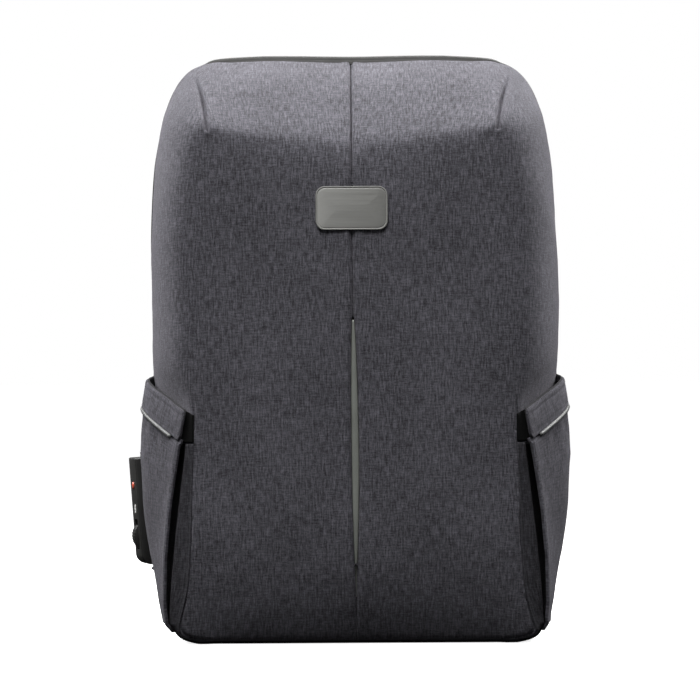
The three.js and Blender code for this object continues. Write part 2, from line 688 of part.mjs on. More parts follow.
// Pieces made once and mirrored for the left side
const PAIRED = [
  ["front_panel", frontPanel(), "melange"],
  ["pocket_panel", pocketPanel(), "melange"],
  ["pocket_cuff", pocketCuff(), "melange"],
  ["pocket_piping", pocketPiping(), "reflective"],
  ["pocket_gusset", pocketGusset(), "melange"],
  ["pocket_elastic", pocketElastic(), "elastic"],
  ["shoulder_strap", shoulderStrap(), "padding"],
  ["strap_webbing", strapWebbing(), "webbing"],
];
for (const [side, sign] of [["right", 1], ["left", -1]]) {
  const half = new THREE.Group();
  half.scale.x = sign;
  for (const [name, geometry, finish] of PAIRED) {
    half.add(piece(`${name}_${side}`, geometry, finish));
  }
  const adjuster = piece(`strap_adjuster_${side}`, strapAdjuster(), "lock_plastic");
  const { middle, across, up, inward } = adjusterFrame();
  adjuster.position.copy(middle);
  adjuster.setRotationFromMatrix(new THREE.Matrix4().makeBasis(across, up, inward));
  half.add(adjuster);
  backpack.add(half);
}

backpack.add(
  piece("reflective_insert", reflectiveInsert(), "reflective"),
  piece("zip_band", zipBand(), "coated_zip"),
  piece("back_gusset", backGusset(), "melange"),
  piece("back_panel", backPanel(), "padding"),
  piece("base_panel", basePanel(), "base_cloth"),
  piece("grab_handle", grabHandle(), "webbing"),
);

const plate = piece("name_plate", namePlate(), "plate");
plate.position.set(0, spineY(PLATE.z) - GAP, PLATE.z);
plate.rotation.x = Math.PI / 2 - Math.atan(FACE_LEAN / HEIGHT);
backpack.add(plate);

const lock = new THREE.Group();
lock.position.set(LOCK.x, LOCK.y, LOCK.z);
lock.rotation.set(0, degToRad(LOCK.lean), degToRad(LOCK.yaw), "ZYX");
lock.updateMatrixWorld(true);
lock.add(piece("lock_body", lockBody(lock.matrixWorld), "lock_plastic"));
const plug = piece("lock_key_cylinder", keyCylinder(), "lock_metal");
plug.position.set(-LOCK.thick + CYLINDER.depth / 2 - 0.1, 0, CYLINDER.z);
const slider = piece("lock_slider", lockSlider(), "lock_plastic");
slider.position.set(-LOCK.thick, 0, SLIDER.z);
const indicator = piece("lock_indicator", lockIndicator(), "lock_red");
indicator.position.set(-LOCK.thick - GAP - INDICATOR.height / 2, 0, INDICATOR.z);
lock.add(plug, slider, indicator);
backpack.add(lock);

for (const pull of PULLS) {
  backpack.add(piece(pull.name, zipPull(pull), "lock_plastic"));
}

export default backpack;
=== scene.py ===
# A laptop backpack: the cloth, trim, straps and lock that show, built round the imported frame.
# Shapes are worked out in millimetres in the frame's axes, and turned into metres when a mesh is made.
import math

import bmesh
import bpy
import numpy as np
from mathutils import Matrix, Vector


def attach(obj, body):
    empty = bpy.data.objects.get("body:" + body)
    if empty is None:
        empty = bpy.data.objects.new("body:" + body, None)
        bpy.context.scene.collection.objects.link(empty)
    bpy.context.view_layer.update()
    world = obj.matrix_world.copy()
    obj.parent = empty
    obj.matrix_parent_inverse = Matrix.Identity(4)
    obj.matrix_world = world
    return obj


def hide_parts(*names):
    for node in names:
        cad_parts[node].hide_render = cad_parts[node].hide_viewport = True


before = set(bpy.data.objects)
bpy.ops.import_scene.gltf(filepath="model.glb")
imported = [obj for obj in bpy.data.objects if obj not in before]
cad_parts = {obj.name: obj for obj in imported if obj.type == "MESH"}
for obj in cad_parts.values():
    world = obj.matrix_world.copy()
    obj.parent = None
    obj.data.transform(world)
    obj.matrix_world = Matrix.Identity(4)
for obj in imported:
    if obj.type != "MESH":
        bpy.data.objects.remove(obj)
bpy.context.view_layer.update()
scene = bpy.context.scene
MM = 0.001

# Camera: level with the middle of the bag, with a long studio lens
CAMERA_DISTANCE = 4.0
CAMERA_HEIGHT = 0.2218
CAMERA_SIDE = -0.0037
CAMERA_ROLL = math.radians(-0.32)
VIEW_WIDTH = 0.5395  # what the frame shows at the bag's outline
OUTLINE_Y = 0.02


def make_camera():
    data = bpy.data.cameras.new("camera")
    data.lens = data.sensor_width * CAMERA_DISTANCE / VIEW_WIDTH
    data.clip_end = 50
    camera = bpy.data.objects.new("camera", data)
    scene.collection.objects.link(camera)
    place = Matrix.Translation((CAMERA_SIDE, OUTLINE_Y - CAMERA_DISTANCE, CAMERA_HEIGHT))
    camera.matrix_world = place @ Matrix.Rotation(math.pi / 2, 4, "X") @ Matrix.Rotation(CAMERA_ROLL, 4, "Z")
    scene.camera = camera


make_camera()

# The bag's form, as in the frame
HEIGHT = 450
SEAM_Y = 22
ZIP_END_Y = 34
BACK_Y = 62
FACE_Y = -78
FACE_LEAN = 12
FACE_CROWN = 7
TUCK_DEPTH, TUCK_HEIGHT = 14, 95  # the foot of the face turns under
OUTLINE = np.array([  # full_x, full_z, face_x, face_z, turn
    (0, 2, 0, 2.8, 3),
    (106, 2, 104, 2.8, 3),
    (122, 2.1, 119, 2.9, 3),
    (138, 8.4, 131.5, 9, 2.4),
    (146.5, 40, 126.5, 46, 1.2),
    (151.5, 115, 123.3, 117, 1.05),
    (153.5, 178, 122, 178, 1.25),
    (156, 216, 122, 214, 2),
    (156, 290, 120, 285, 2.3),
    (151.8, 368, 116, 350, 2.2),
    (143.8, 408.4, 114.5, 378, 1.9),
    (131.8, 431.3, 109.5, 388.5, 1.35),
    (117, 441.9, 92, 386.8, 1.2),
    (84, 446.4, 60, 381.5, 1.15),
    (0, 446.2, 0, 376, 1.15),
])
ZIP_START_ROW = 4
NEAR_CENTRE = np.array([0, 0.008, 0.018, 0.03, 0.048, 0.07, 0.1, 0.15, 0.22, 0.32, 0.45, 0.6, 0.8])
STEPS = (6, 8, 12, 20, 16, 12, 20, 20, 14, 34, 40, 8)  # columns between the outline's middle rows
INTERVALS = len(OUTLINE) - 1
COLUMNS = np.concatenate(
    [NEAR_CENTRE]
    + [row + 1 + np.arange(steps) / steps for row, steps in enumerate(STEPS)]
    + [INTERVALS - NEAR_CENTRE[::-1]]
) / INTERVALS
DEPTHS = np.concatenate([
    [0, 0.004, 0.01, 0.02, 0.035],
    np.linspace(0.06, 0.9, 38),
    [0.925, 0.945, 0.96, 0.972, 0.982, 0.99, 0.996, 1],
])
FACE_STEPS = np.concatenate([
    [0.008, 0.02, 0.04, 0.07],
    np.linspace(0.11, 0.9, 22),
    [0.925, 0.945, 0.96, 0.97, 0.978, 0.985, 0.991, 0.996, 1],
])
SPINE_LOW, SPINE_HIGH = 60, 345
BEND_ROWS = (0, 2, 3, 5.5, 6, 6.3, 7, 9, 10, 11, 11.4, 12, 13, 14)
BEND_REACH = (9, 7, 2.5, 2.5, 5, 12, 15, 13, 8, 5, 8, 13, 17, 18)  # how far its bend is rounded
SEAM_HALF_GAP = 0.15
INSERT_LOW, INSERT_HIGH, INSERT_HALF = 34, 246.5, 2.8
INSERT_TAPER_LOW, INSERT_TAPER_HIGH = 0.9, 0.36
DART_LINE = ((119, 429), (115, 418), (111.5, 404), (110, 389.5))
FRONT_WALL = 2.4
# The cloth's own unevenness, with the spans of x or z that it fades over
SLACK, SLACK_Z, SLACK_REACH, SLACK_X = 1.6, 252, 34, (100, 145)
SHOULDER_FULL, SHOULDER_Z, SHOULDER_X = 0.7, (275, 310), (80, 125)
CORNER_FULL, CORNER_X, CORNER_Z = 3, (104, 128), (22, 5)
MIDDLE_LEAN, LEAN_Z, LEAN_HALF = 1.9, (110, 340), 140
TOP_DIP, TOP_DIP_REACH, TOP_DIP_X, TOP_DIP_Z = 1.6, 26, (108, 88), (400, 430)


def unit(v):
    return v / np.maximum(np.linalg.norm(v, axis=-1, keepdims=True), 1e-9)


def lengths(points):
    """How far each point lies along its row of points, from the row's first."""
    step = np.linalg.norm(np.diff(points, axis=-2), axis=-1)
    return np.concatenate([np.zeros_like(step[..., :1]), np.cumsum(step, axis=-1)], axis=-1)


def circle(count):
    """Evenly spaced angles of a full turn."""
    return np.linspace(0, 2 * math.pi, count, endpoint=False)


def at_depth(places, y):
    """Points at depths y over rows of (x, z)."""
    x, z = places.T
    return np.column_stack([x, y + 0 * x, z])


def lerp(a, b, share):
    return a + (b - a) * share


def ramp(value, low, high):
    """A smooth step from 0 at low to 1 at high."""
    t = np.clip((value - low) / (high - low), 0, 1)
    return t * t * (3 - 2 * t)


def bump(distance, width):
    return np.exp(-((distance / width) ** 2))


def ridge(distance, shape):
    """A rounded ridge, or groove, of a height at a distance from a line, with its reach."""
    height, place, reach = shape
    return height * bump(distance - place, reach)


def spline(points, ts):
    """Points of a centripetal Catmull-Rom curve through rows of points, at shares of its rows."""
    points = np.asarray(points, float)
    ends = np.vstack([2 * points[0] - points[1], points, 2 * points[-1] - points[-2]])
    last = len(points) - 1
    at = np.clip(np.asarray(ts, float) * last, 0, last)
    i = np.minimum(at.astype(int), last - 1)
    w = (at - i)[:, None]
    p0, p1, p2, p3 = (ends[i + k] for k in range(4))

    def root(a, b):
        return np.maximum(np.linalg.norm(b - a, axis=1), 1e-6)[:, None] ** 0.5

    d0, d1, d2 = root(p0, p1), root(p1, p2), root(p2, p3)
    t1 = ((p1 - p0) / d0 - (p2 - p0) / (d0 + d1) + (p2 - p1) / d1) * d1
    t2 = ((p2 - p1) / d1 - (p3 - p1) / (d1 + d2) + (p3 - p2) / d2) * d1
    return p1 + t1 * w + (3 * (p2 - p1) - 2 * t1 - t2) * w**2 + (2 * (p1 - p2) + t1 + t2) * w**3


RIPPLE_WAVES, RIPPLE_SPREAD = 7, (0.7, 1.5)


def ripple(points, shape):
    """A smooth wavy field over points, of a height and a wavelength, from a seed."""
    height, length, seed = shape
    rng = np.random.default_rng(seed)
    total = np.zeros(points.shape[:-1])
    for _ in range(RIPPLE_WAVES):
        way = unit(rng.normal(size=3)) * 2 * math.pi / (length * rng.uniform(*RIPPLE_SPREAD))
        total += np.sin(points @ way + rng.uniform(0, 2 * math.pi))
    return height * (total / math.sqrt(RIPPLE_WAVES))


def turned(share, power):
    return 1 - (1 - share**power) ** (1 / power)


def face_y(z):
    tuck = TUCK_DEPTH * np.maximum(0, 1 - z / TUCK_HEIGHT) ** 2
    return FACE_Y + FACE_LEAN * z / HEIGHT + tuck


def spine_y(z):
    return face_y(z) - FACE_CROWN


def outline(depth, ts):
    """The right half of the bag's outline at a share of the depth from the zip seam to the face."""
    full_x, full_z, face_x, face_z, turn = OUTLINE.T
    share = turned(depth, turn)
    z = lerp(full_z, face_z, share)
    return spline(np.stack([lerp(full_x, face_x, share), lerp(SEAM_Y, face_y(z), depth), z], axis=1), ts)


def side_point(z, depth):
    """Points of the bag's right side at heights z."""
    line = outline(depth, np.linspace(2 / INTERVALS, 1, 600))
    return np.stack([np.interp(z, line[:, 2], line[:, k]) for k in range(3)], axis=-1)


def side_out(z, depth, out):
    point = side_point(z, depth)
    along = side_point(z, depth - 0.01) - point
    normal = unit(np.stack([along[..., 1], -along[..., 0], 0 * along[..., 0]], axis=-1))
    return point + normal * out


def full_loop(columns=COLUMNS):
    """The whole outline at the zip seam as points (x, z) and outward normals (x, z), bottom centre first."""
    right = outline(0, columns)[:, [0, 2]]
    loop = np.vstack([right, (right * [-1, 1])[-2:0:-1]])
    step = np.roll(loop, -1, axis=0) - np.roll(loop, 1, axis=0)
    return loop, unit(np.stack([step[:, 1], -step[:, 0]], axis=1))


def slot_half(z):
    """Half the width of the slot that the reflective insert shows through."""
    share = np.clip((z - INSERT_LOW) / (INSERT_HIGH - INSERT_LOW), 0, 1)
    taper = lerp(INSERT_TAPER_LOW, INSERT_TAPER_HIGH, ramp(share, 0.3, 0.7))
    return INSERT_HALF * np.sin(math.pi * share) ** taper


# Meshes


def grid_normals(grid):
    return unit(np.cross(np.gradient(grid, axis=0), np.gradient(grid, axis=1)))


def weave_uv(grid, normals):
    """Places across and up the flat cloth in metres, worked out from a grid's last column."""
    across = unit(np.cross(np.array([0, 0.1, 1]), normals))
    up = np.cross(normals, across)
    step = np.diff(grid, axis=1)
    middle = [(field[:, 1:] + field[:, :-1]) / 2 for field in (across, up)]
    walk = [np.cumsum((step * field).sum(axis=2), axis=1) for field in middle]
    flat = np.stack([np.pad(w, ((0, 0), (1, 0))) for w in walk], axis=2)
    return (flat - flat[:, -1:] + grid[:, -1:, [0, 2]]) * MM


def own_uv(grid):
    """Lengths along a grid's two directions, in metres."""
    u = lengths(grid)
    v = lengths(np.swapaxes(grid, 0, 1)).mean(axis=0)[:, None] + 0 * u
    return np.stack([u, v], axis=2) * MM


def grid_mesh(name, grid, uv=None, wrap=False, close=False, caps=False, flip=False):
    """An object from a grid of points: wrap joins its last row to the first, close its last column."""
    rows, columns = grid.shape[:2]
    uv = own_uv(grid) if uv is None else uv
    at = np.arange(rows * columns).reshape(rows, columns)
    last_row, last_column = rows - (not wrap), columns - (not close)
    faces, corners = [], []
    for i in range(last_row):
        for j in range(last_column):
            quad = [(i, j), (i + 1, j), (i + 1, j + 1), (i, j + 1)]
            quad = quad[::-1] if flip else quad
            faces.append([int(at[a % rows, b % columns]) for a, b in quad])
            corners.extend(uv[min(a, rows - 1), min(b, columns - 1)] for a, b in quad)
    if caps:
        for row, turn in ((0, flip), (rows - 1, not flip)):
            ring = list(range(columns))
            ring = ring[::-1] if turn else ring
            faces.append([int(at[row, j]) for j in ring])
            corners.extend(uv[row, j] for j in ring)
    mesh = bpy.data.meshes.new(name)
    mesh.from_pydata((grid.reshape(-1, 3) * MM).tolist(), [], faces)
    layer = mesh.uv_layers.new(name="weave")
    layer.data.foreach_set("uv", np.array(corners, np.float32).ravel())
    mesh.shade_smooth()
    mesh.validate()
    return bpy.data.objects.new(name, mesh)


def thicken(obj, wall):
    solid = obj.modifiers.new("wall", "SOLIDIFY")
    solid.thickness = wall * MM
    solid.offset = -1
    solid.use_even_offset = False
    return obj


def bm_object(name, bm, crease=40):
    mesh = bpy.data.meshes.new(name)
    bmesh.ops.recalc_face_normals(bm, faces=bm.faces)
    bm.to_mesh(mesh)
    bm.free()
    mesh.shade_smooth()
    mesh.set_sharp_from_angle(angle=math.radians(crease))
    return bpy.data.objects.new(name, mesh)


def soften(obj, width, angle):
    """Rounds the edges that turn by more than an angle in degrees."""
    edge = obj.modifiers.new("soft_edges", "BEVEL")
    edge.width = width * MM
    edge.segments = 2
    edge.limit_method = "ANGLE"
    edge.angle_limit = math.radians(angle)
    edge.harden_normals = False
    return obj


def settle(obj):
    """Applies an object's modifiers."""
    graph = bpy.context.evaluated_depsgraph_get()
    mesh = bpy.data.meshes.new_from_object(obj.evaluated_get(graph))
    obj.modifiers.clear()
    obj.data = mesh


def points_of(obj):
    """An object's points in millimetres."""
    flat = np.empty(len(obj.data.vertices) * 3, np.float32)
    obj.data.vertices.foreach_get("co", flat)
    return flat.reshape(-1, 3).astype(float) / MM


def set_points(obj, points):
    obj.data.vertices.foreach_set("co", (points * MM).astype(np.float32).ravel())
    obj.data.update()


PUFF_FRAMES, PUFF_QUALITY, PUFF_MASS, PUFF_BENDING = 20, 6, 0.2, 0.4


def puffed(obj, voxel, pressure, cap, sewn):
    """Swells a closed form like filled cloth, up to a cap, in a short simulation. Sewn points stay."""
    scene.collection.objects.link(obj)
    remesh = obj.modifiers.new("even_mesh", "REMESH")
    remesh.mode = "VOXEL"
    remesh.voxel_size = voxel * MM
    settle(obj)
    start = points_of(obj)
    held = np.flatnonzero(sewn(start))
    obj.vertex_groups.new(name="sewn").add(held.tolist(), 1.0, "REPLACE")
    cloth = obj.modifiers.new("filling", "CLOTH")
    cloth.settings.quality = PUFF_QUALITY
    cloth.settings.mass = PUFF_MASS
    cloth.settings.bending_stiffness = PUFF_BENDING
    cloth.settings.use_pressure = True
    cloth.settings.uniform_pressure_force = pressure
    cloth.settings.vertex_group_mass = "sewn"
    cloth.settings.effector_weights.gravity = 0
    cloth.collision_settings.use_collision = False
    cloth.point_cache.frame_end = PUFF_FRAMES
    for step in range(1, PUFF_FRAMES + 1):
        scene.frame_set(step)
    settle(obj)
    scene.frame_set(1)
    move = points_of(obj) - start
    far = np.linalg.norm(move, axis=1, keepdims=True)
    set_points(obj, start + move * np.minimum(1, cap / np.maximum(far, 1e-9)))
    smooth = obj.modifiers.new("smooth", "SUBSURF")
    smooth.levels = smooth.render_levels = 1
    settle(obj)
    obj.data.shade_smooth()


STITCH_PROFILE = ((0, 0.35, -0.12), (0.2, 1, 0.16), (0.8, 1, 0.16), (1, 0.35, -0.12))  # share, size, rise
STITCH_LENGTH, STITCH_PITCH, STITCH_RADIUS, STITCH_SIDES = 2.4, 3.4, 0.3, 6


def stitches(name, rows):
    """Short raised stitches along rows of (points, directions out of the cloth)."""
    angles = circle(STITCH_SIDES)[:, None]
    verts, faces = [], []
    for points, outs in rows:
        at = lengths(points)
        along = unit(np.gradient(points, axis=0))
        for begin in np.arange(0, at[-1] - STITCH_LENGTH, STITCH_PITCH):
            first = len(verts)
            for share, size, rise in STITCH_PROFILE:
                where = begin + share * STITCH_LENGTH
                fields = (points, outs, along)
                middle, out, way = (np.array([np.interp(where, at, axis) for axis in f.T]) for f in fields)
                around = np.cos(angles) * np.cross(way, out) + np.sin(angles) * out
                verts.extend((middle + out * rise + STITCH_RADIUS * size * around).tolist())
            rings = np.arange(first, len(verts)).reshape(-1, STITCH_SIDES).tolist()
            for low, high in zip(rings, rings[1:]):
                for k in range(STITCH_SIDES):
                    j = (k + 1) % STITCH_SIDES
                    faces.append((low[k], low[j], high[j], high[k]))
            faces += [rings[0][::-1], rings[-1]]
    mesh = bpy.data.meshes.new(name)
    mesh.from_pydata((np.array(verts) * MM).tolist(), [], faces)
    mesh.shade_smooth()
    return bpy.data.objects.new(name, mesh)


def add_piece(obj, material, nodes=(), body="bag"):
    """Puts a piece in the scene, on its body, in place of its CAD nodes."""
    if obj.name not in scene.collection.objects:
        scene.collection.objects.link(obj)
    obj.data.materials.clear()
    obj.data.materials.append(material)
    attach(obj, body)
    if nodes:
        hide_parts(*nodes)
    return obj


# Materials


WAVE_LENGTH = 0.314  # one rib of Blender's wave texture at scale 1
SHEEN_TINT = (0.9, 0.86, 0.96, 1)
YARN_TONES = (0.38, 0.5, 0.62)  # where the dark, middle and light yarns lie in the mixed noise
CLOUD_SIZE, CLOUD_TONE = (46, 60, 1), 0.018
WEAR_SIZE, STAIN_SIZE = 14, 18


class Shader:
    """A principled material with helpers that add and link nodes."""

    def __init__(self, name, **values):
        self.material = bpy.data.materials.new(name)
        self.material.use_nodes = True
        self.tree = self.material.node_tree
        self.principled = self.tree.nodes["Principled BSDF"]
        self.set(**values)

    def set(self, **values):
        for key, value in values.items():
            socket = self.principled.inputs[key.replace("_", " ")]
            if isinstance(value, bpy.types.NodeSocket):
                self.tree.links.new(value, socket)
            else:
                socket.default_value = value

    def node(self, kind, values=None, **settings):
        node = self.tree.nodes.new("ShaderNode" + kind)
        for key, value in settings.items():
            setattr(node, key, value)
        for key, value in (values or {}).items():
            if isinstance(value, bpy.types.NodeSocket):
                self.tree.links.new(value, node.inputs[key])
            else:
                node.inputs[key].default_value = value
        return node

    def coordinates(self, scale, uv=True):
        if uv:
            source = self.node("UVMap", uv_map="weave").outputs[0]
        else:
            source = self.node("TexCoord").outputs["Object"]
        return self.node("Mapping", {"Vector": source, "Scale": scale}).outputs[0]

    def noise(self, scale, detail=2.0, rough=0.55, uv=True):
        where = self.coordinates(scale, uv)
        values = {"Vector": where, "Scale": 1.0, "Detail": detail, "Roughness": rough}
        return self.node("TexNoise", values).outputs["Fac"]

    def math(self, operation, a, b):
        return self.node("Math", {0: a, 1: b}, operation=operation).outputs[0]

    def span(self, value, low, high, out_low, out_high):
        values = {"Value": value, "From Min": low, "From Max": high, "To Min": out_low, "To Max": out_high}
        return self.node("MapRange", values).outputs[0]

    def colours(self, factor, *stops):
        node = self.node("ValToRGB", {"Fac": factor})
        elements = node.color_ramp.elements
        while len(elements) < len(stops):
            elements.new(0.5)
        for element, (place, colour) in zip(elements, stops):
            element.position = place
            element.color = (*colour, 1)
        return node.outputs["Color"]

    def bump(self, height, distance):
        return self.node("Bump", {"Height": height, "Distance": distance * MM, "Strength": 1.0}).outputs[0]

    def ribs(self, pitch, direction):
        values = {"Vector": self.coordinates(per_mm(1, 1, 1)), "Scale": WAVE_LENGTH / pitch}
        return self.node("TexWave", values, bands_direction=direction).outputs["Fac"]

    def cells(self, size, randomness=1.0):
        values = {"Vector": self.coordinates(even(size), uv=False), "Scale": 1.0, "Randomness": randomness}
        return self.node("TexVoronoi", values).outputs["Distance"]

    def blend(self, *parts):
        """A weighted sum of (value, weight) pairs."""
        total = None
        for value, weight in parts:
            part = value if weight == 1 else self.math("MULTIPLY", value, weight)
            total = part if total is None else self.math("ADD", total, part)
        return total

    def tint(self, tone, colour, *shares):
        """Paints a colour, with its share at places of a tone."""
        stops = [(place, tuple(c * share for c in colour)) for place, share in shares]
        self.set(Base_Color=self.colours(tone, *stops))


def grey(value, warm=0.0):
    """A linear grey, a little warm or, below 0, a little violet."""
    green = value * (1 + 0.8 * warm) if warm < 0 else value
    return (value * (1 + 0.4 * warm), green, value * (1 - 1.8 * warm))


def per_mm(*sizes):
    return tuple(1 / (size * MM) for size in sizes)


def even(size):
    return per_mm(size, size, size)


def woven(name, dark, light, thread, slub, sheen, warm, depth):
    """Plain weave of mixed yarns: streaks along both thread directions, over a fine weave."""
    s = Shader(name, Roughness=0.9, Sheen_Weight=sheen, Sheen_Roughness=0.5)
    s.set(Specular_IOR_Level=0.2, Sheen_Tint=SHEEN_TINT)
    warp = s.noise(per_mm(thread, slub, 1), 3.0, 0.7)
    weft = s.noise(per_mm(slub * 0.7, thread, 1), 3.0, 0.7)
    fleck = s.noise(per_mm(thread * 0.8, thread * 0.8, 1), 1.0, 0.5)
    cloud = s.noise(per_mm(*CLOUD_SIZE), 2.0, 0.5)
    mixed = s.blend((warp, 0.52), (weft, 0.34), (fleck, 0.14))
    toned = s.math("ADD", mixed, s.span(cloud, 0.3, 0.7, -CLOUD_TONE, CLOUD_TONE))
    yarns = (dark, (dark + light) / 2 * 0.85, light)
    s.set(Base_Color=s.colours(toned, *((tone, grey(yarn, warm)) for tone, yarn in zip(YARN_TONES, yarns))))
    weave = s.math("MULTIPLY", s.ribs(thread / 1.6, "X"), s.ribs(thread / 1.6, "Y"))
    s.set(Normal=s.bump(s.blend((weave, 0.5), (mixed, 1)), depth))
    return s.material


def ribbed(name, dark, light, pitch, sheen):
    """Webbing or elastic: ribs along one direction, with a fine fibre grain."""
    s = Shader(name, Roughness=0.75, Sheen_Weight=sheen, Sheen_Roughness=0.4, Specular_IOR_Level=0.06)
    height = s.blend((s.ribs(pitch, "X"), 1), (s.noise(per_mm(0.5, 0.5, 1), 2.0, 0.6), 0.5))
    s.set(Base_Color=s.colours(s.span(height, 0.2, 1.3, 0, 1), (0.0, grey(dark)), (1.0, grey(light))))
    s.set(Normal=s.bump(height, 0.25))
    return s.material


def spacer_mesh(name, dark, light, cell):
    """Padded mesh: small round holes in rows, its colour darker in the holes."""
    s = Shader(name, Roughness=0.85, Sheen_Weight=0.15, Sheen_Roughness=0.5)
    lip = s.span(s.cells(cell, 0.25), 0.12, 0.42, 0, 1)
    fibre = s.noise(even(0.7), 2.0, 0.6, uv=False)
    s.set(Base_Color=s.colours(lip, (0.0, grey(dark)), (0.8, grey(light))))
    s.set(Normal=s.bump(s.blend((lip, 1), (fibre, 0.3)), 0.5))
    return s.material


def moulded(name, colour, rough, grain, depth, shine=0.5, coat=0.0):
    """Moulded plastic or coating with a fine grain."""
    s = Shader(name, Specular_IOR_Level=shine, Coat_Weight=coat, Coat_Roughness=0.25)
    fine = s.noise(even(grain), 3.0, 0.6, uv=False)
    tone = s.blend((fine, 0.4), (s.noise(even(WEAR_SIZE), 3.0, 0.6, uv=False), 0.6))
    s.tint(tone, colour, (0.3, 0.8), (0.7, 1.2))
    s.set(Roughness=s.span(tone, 0.3, 0.7, rough - 0.07, rough + 0.07))
    s.set(Normal=s.bump(fine, depth))
    return s.material


def brushed(name, colour, rough, along, across, metal=1.0):
    """Brushed metal, with streaks along X."""
    s = Shader(name, Metallic=metal)
    streak = s.noise(per_mm(along, across, across), 4.0, 0.65, uv=False)
    stain = s.noise(even(STAIN_SIZE), 2.0, 0.5, uv=False)
    s.tint(s.blend((streak, 0.75), (stain, 0.25)), colour, (0.3, 0.92), (0.7, 1.06))
    s.set(Roughness=s.span(streak, 0.3, 0.7, rough - 0.04, rough + 0.06))
    s.set(Normal=s.bump(streak, 0.006))
    return s.material


def reflective_tape(name, colour):
    """Grey reflective tape: a fine beaded grain with a soft shine."""
    s = Shader(name, Metallic=0.25)
    bead = s.cells(0.35)
    soil = s.noise(per_mm(9, 9, 22), 3.0, 0.6, uv=False)
    s.tint(s.blend((bead, 0.4), (soil, 0.6)), colour, (0.25, 0.8), (0.65, 1.15))
    s.set(Roughness=s.span(soil, 0.3, 0.7, 0.42, 0.56))
    s.set(Normal=s.bump(bead, 0.06))
    return s.material


# Woven: dark and light yarns, thread and slub in millimetres, sheen, warmth, depth of the weave
MELANGE = woven("melange", 0.014, 0.121, 1.2, 9.0, 0.16, -0.06, 0.2)
# Painted shade: the pockets' panels and cuffs are the front's melange, made darker here to stand for their
# shade
POCKET_SHADED_CLOTH = woven("pocket_shaded_cloth", 0.01, 0.088, 1.7, 11.0, 0.1, -0.07, 0.2)
# Painted shade: a darker copy of the melange for the tuck beside each pocket, which lies in the pocket's
# shadow
PLEAT_SHADED_CLOTH = woven("pleat_shaded_cloth", 0.008, 0.06, 1.4, 11.0, 0.06, -0.06, 0.2)
# Painted shade: the cloth's dark inner side, put on the faces deep inside the cuffs and tucks where shade
# falls
SHADE_LINING = woven("shade_lining", 0.011, 0.032, 0.7, 1.5, 0.05, -0.03, 0.15)
BASE_CLOTH = woven("base_cloth", 0.012, 0.03, 0.8, 1.6, 0.1, -0.02, 0.2)
PADDING = spacer_mesh("padding", 0.006, 0.03, cell=2.6)
WEBBING = ribbed("webbing", 0.008, 0.022, pitch=1.5, sheen=0.2)
# The pockets' black elastic, made darker still as painted shade of the deep gap it spans
ELASTIC_SHADED = ribbed("elastic", 0.002, 0.006, pitch=1.1, sheen=0.02)
COATED_ZIP = moulded("coated_zip", grey(0.014, 0.06), rough=0.5, grain=0.5, depth=0.05, shine=0.26)
LOCK_PLASTIC = moulded("lock_plastic", grey(0.014, 0.03), rough=0.4, grain=0.35, depth=0.03)
LOCK_METAL = brushed("lock_metal", (0.85, 0.85, 0.83), rough=0.45, along=0.4, across=2.0, metal=0.35)
LOCK_RED = moulded("lock_red", (0.66, 0.11, 0.06), rough=0.35, grain=0.6, depth=0.01, coat=0.4)
PLATE = brushed("plate", (0.46, 0.46, 0.44), rough=0.4, along=40, across=0.3)
PLATE_RIM = moulded("plate_rim", (0.2, 0.2, 0.19), rough=0.6, grain=0.4, depth=0.02, shine=0.25)
REFLECTIVE = reflective_tape("reflective", (0.17, 0.178, 0.162))
PIPING = reflective_tape("piping", (0.085, 0.086, 0.085))
THREAD = moulded("thread", grey(0.03, -0.02), rough=0.7, grain=0.3, depth=0.05)


# Front
DART_POINTS = 80


def dart_distance(grid):
    """How far points lie from the dart seen from the front, and the share of its length they lie at."""
    line = spline(DART_LINE, np.linspace(0, 1, DART_POINTS))
    gap = np.linalg.norm(grid[..., None, [0, 2]] - line, axis=-1)
    return gap.min(axis=-1), gap.argmin(axis=-1) / (DART_POINTS - 1)


def softened(grid, reach):
    """Rounds the bends along each row of a grid, by averaging its points over the row's reach."""
    spread = np.linspace(-1, 1, 15)
    weights = (1 - spread**2) ** 2
    weights /= weights.sum()
    soft = np.empty_like(grid)
    for row, at, far, out in zip(grid, lengths(grid), reach, soft):
        room = np.minimum(far, np.minimum(at, at[-1] - at))
        where = at[:, None] + room[:, None] * spread
        for axis in range(3):
            out[:, axis] = np.interp(where, at, row[:, axis]) @ weights
    return soft


# Seams of the front: height out of the cloth, distance from the seam, and reach
SEAM_LIP, SEAM_GROOVE = (0.5, 4.2, 3), (-1.9, 0, 1.3)
EDGE_LIP, EDGE_GROOVE = (0.25, 3, 2.2), (-1.8, 0, 1.1)
DART_GROOVE, DART_FULL = (-6.5, 0, 1.5), (1.3, 0, 12)
ZIP_PINCH, ZIP_PINCH_REACH = 0.7, 4.5
# Its ripples: height, wavelength and seed
SEAM_RIPPLE, ZIP_RIPPLE = (0.16, 11, 3), (0.16, 16, 5)
BROAD_RIPPLE, FINE_RIPPLE = (0.6, 120, 11), (0.1, 38, 12)
RIPPLE_REACH, ZIP_RIPPLE_PLACE = 9, 8
# Spans that they fade over
SEAM_FOOT_Z, EDGE_SEAM_Z, EDGE_SEAM_X = (4, 26), (190, 176), (104, 118)
SIDE_Z, SIDE_FROM_EDGE = (215, 195), (0, -5)
DART_FADE, DART_FULL_Z = (-0.1, 0.5), (376, 396)


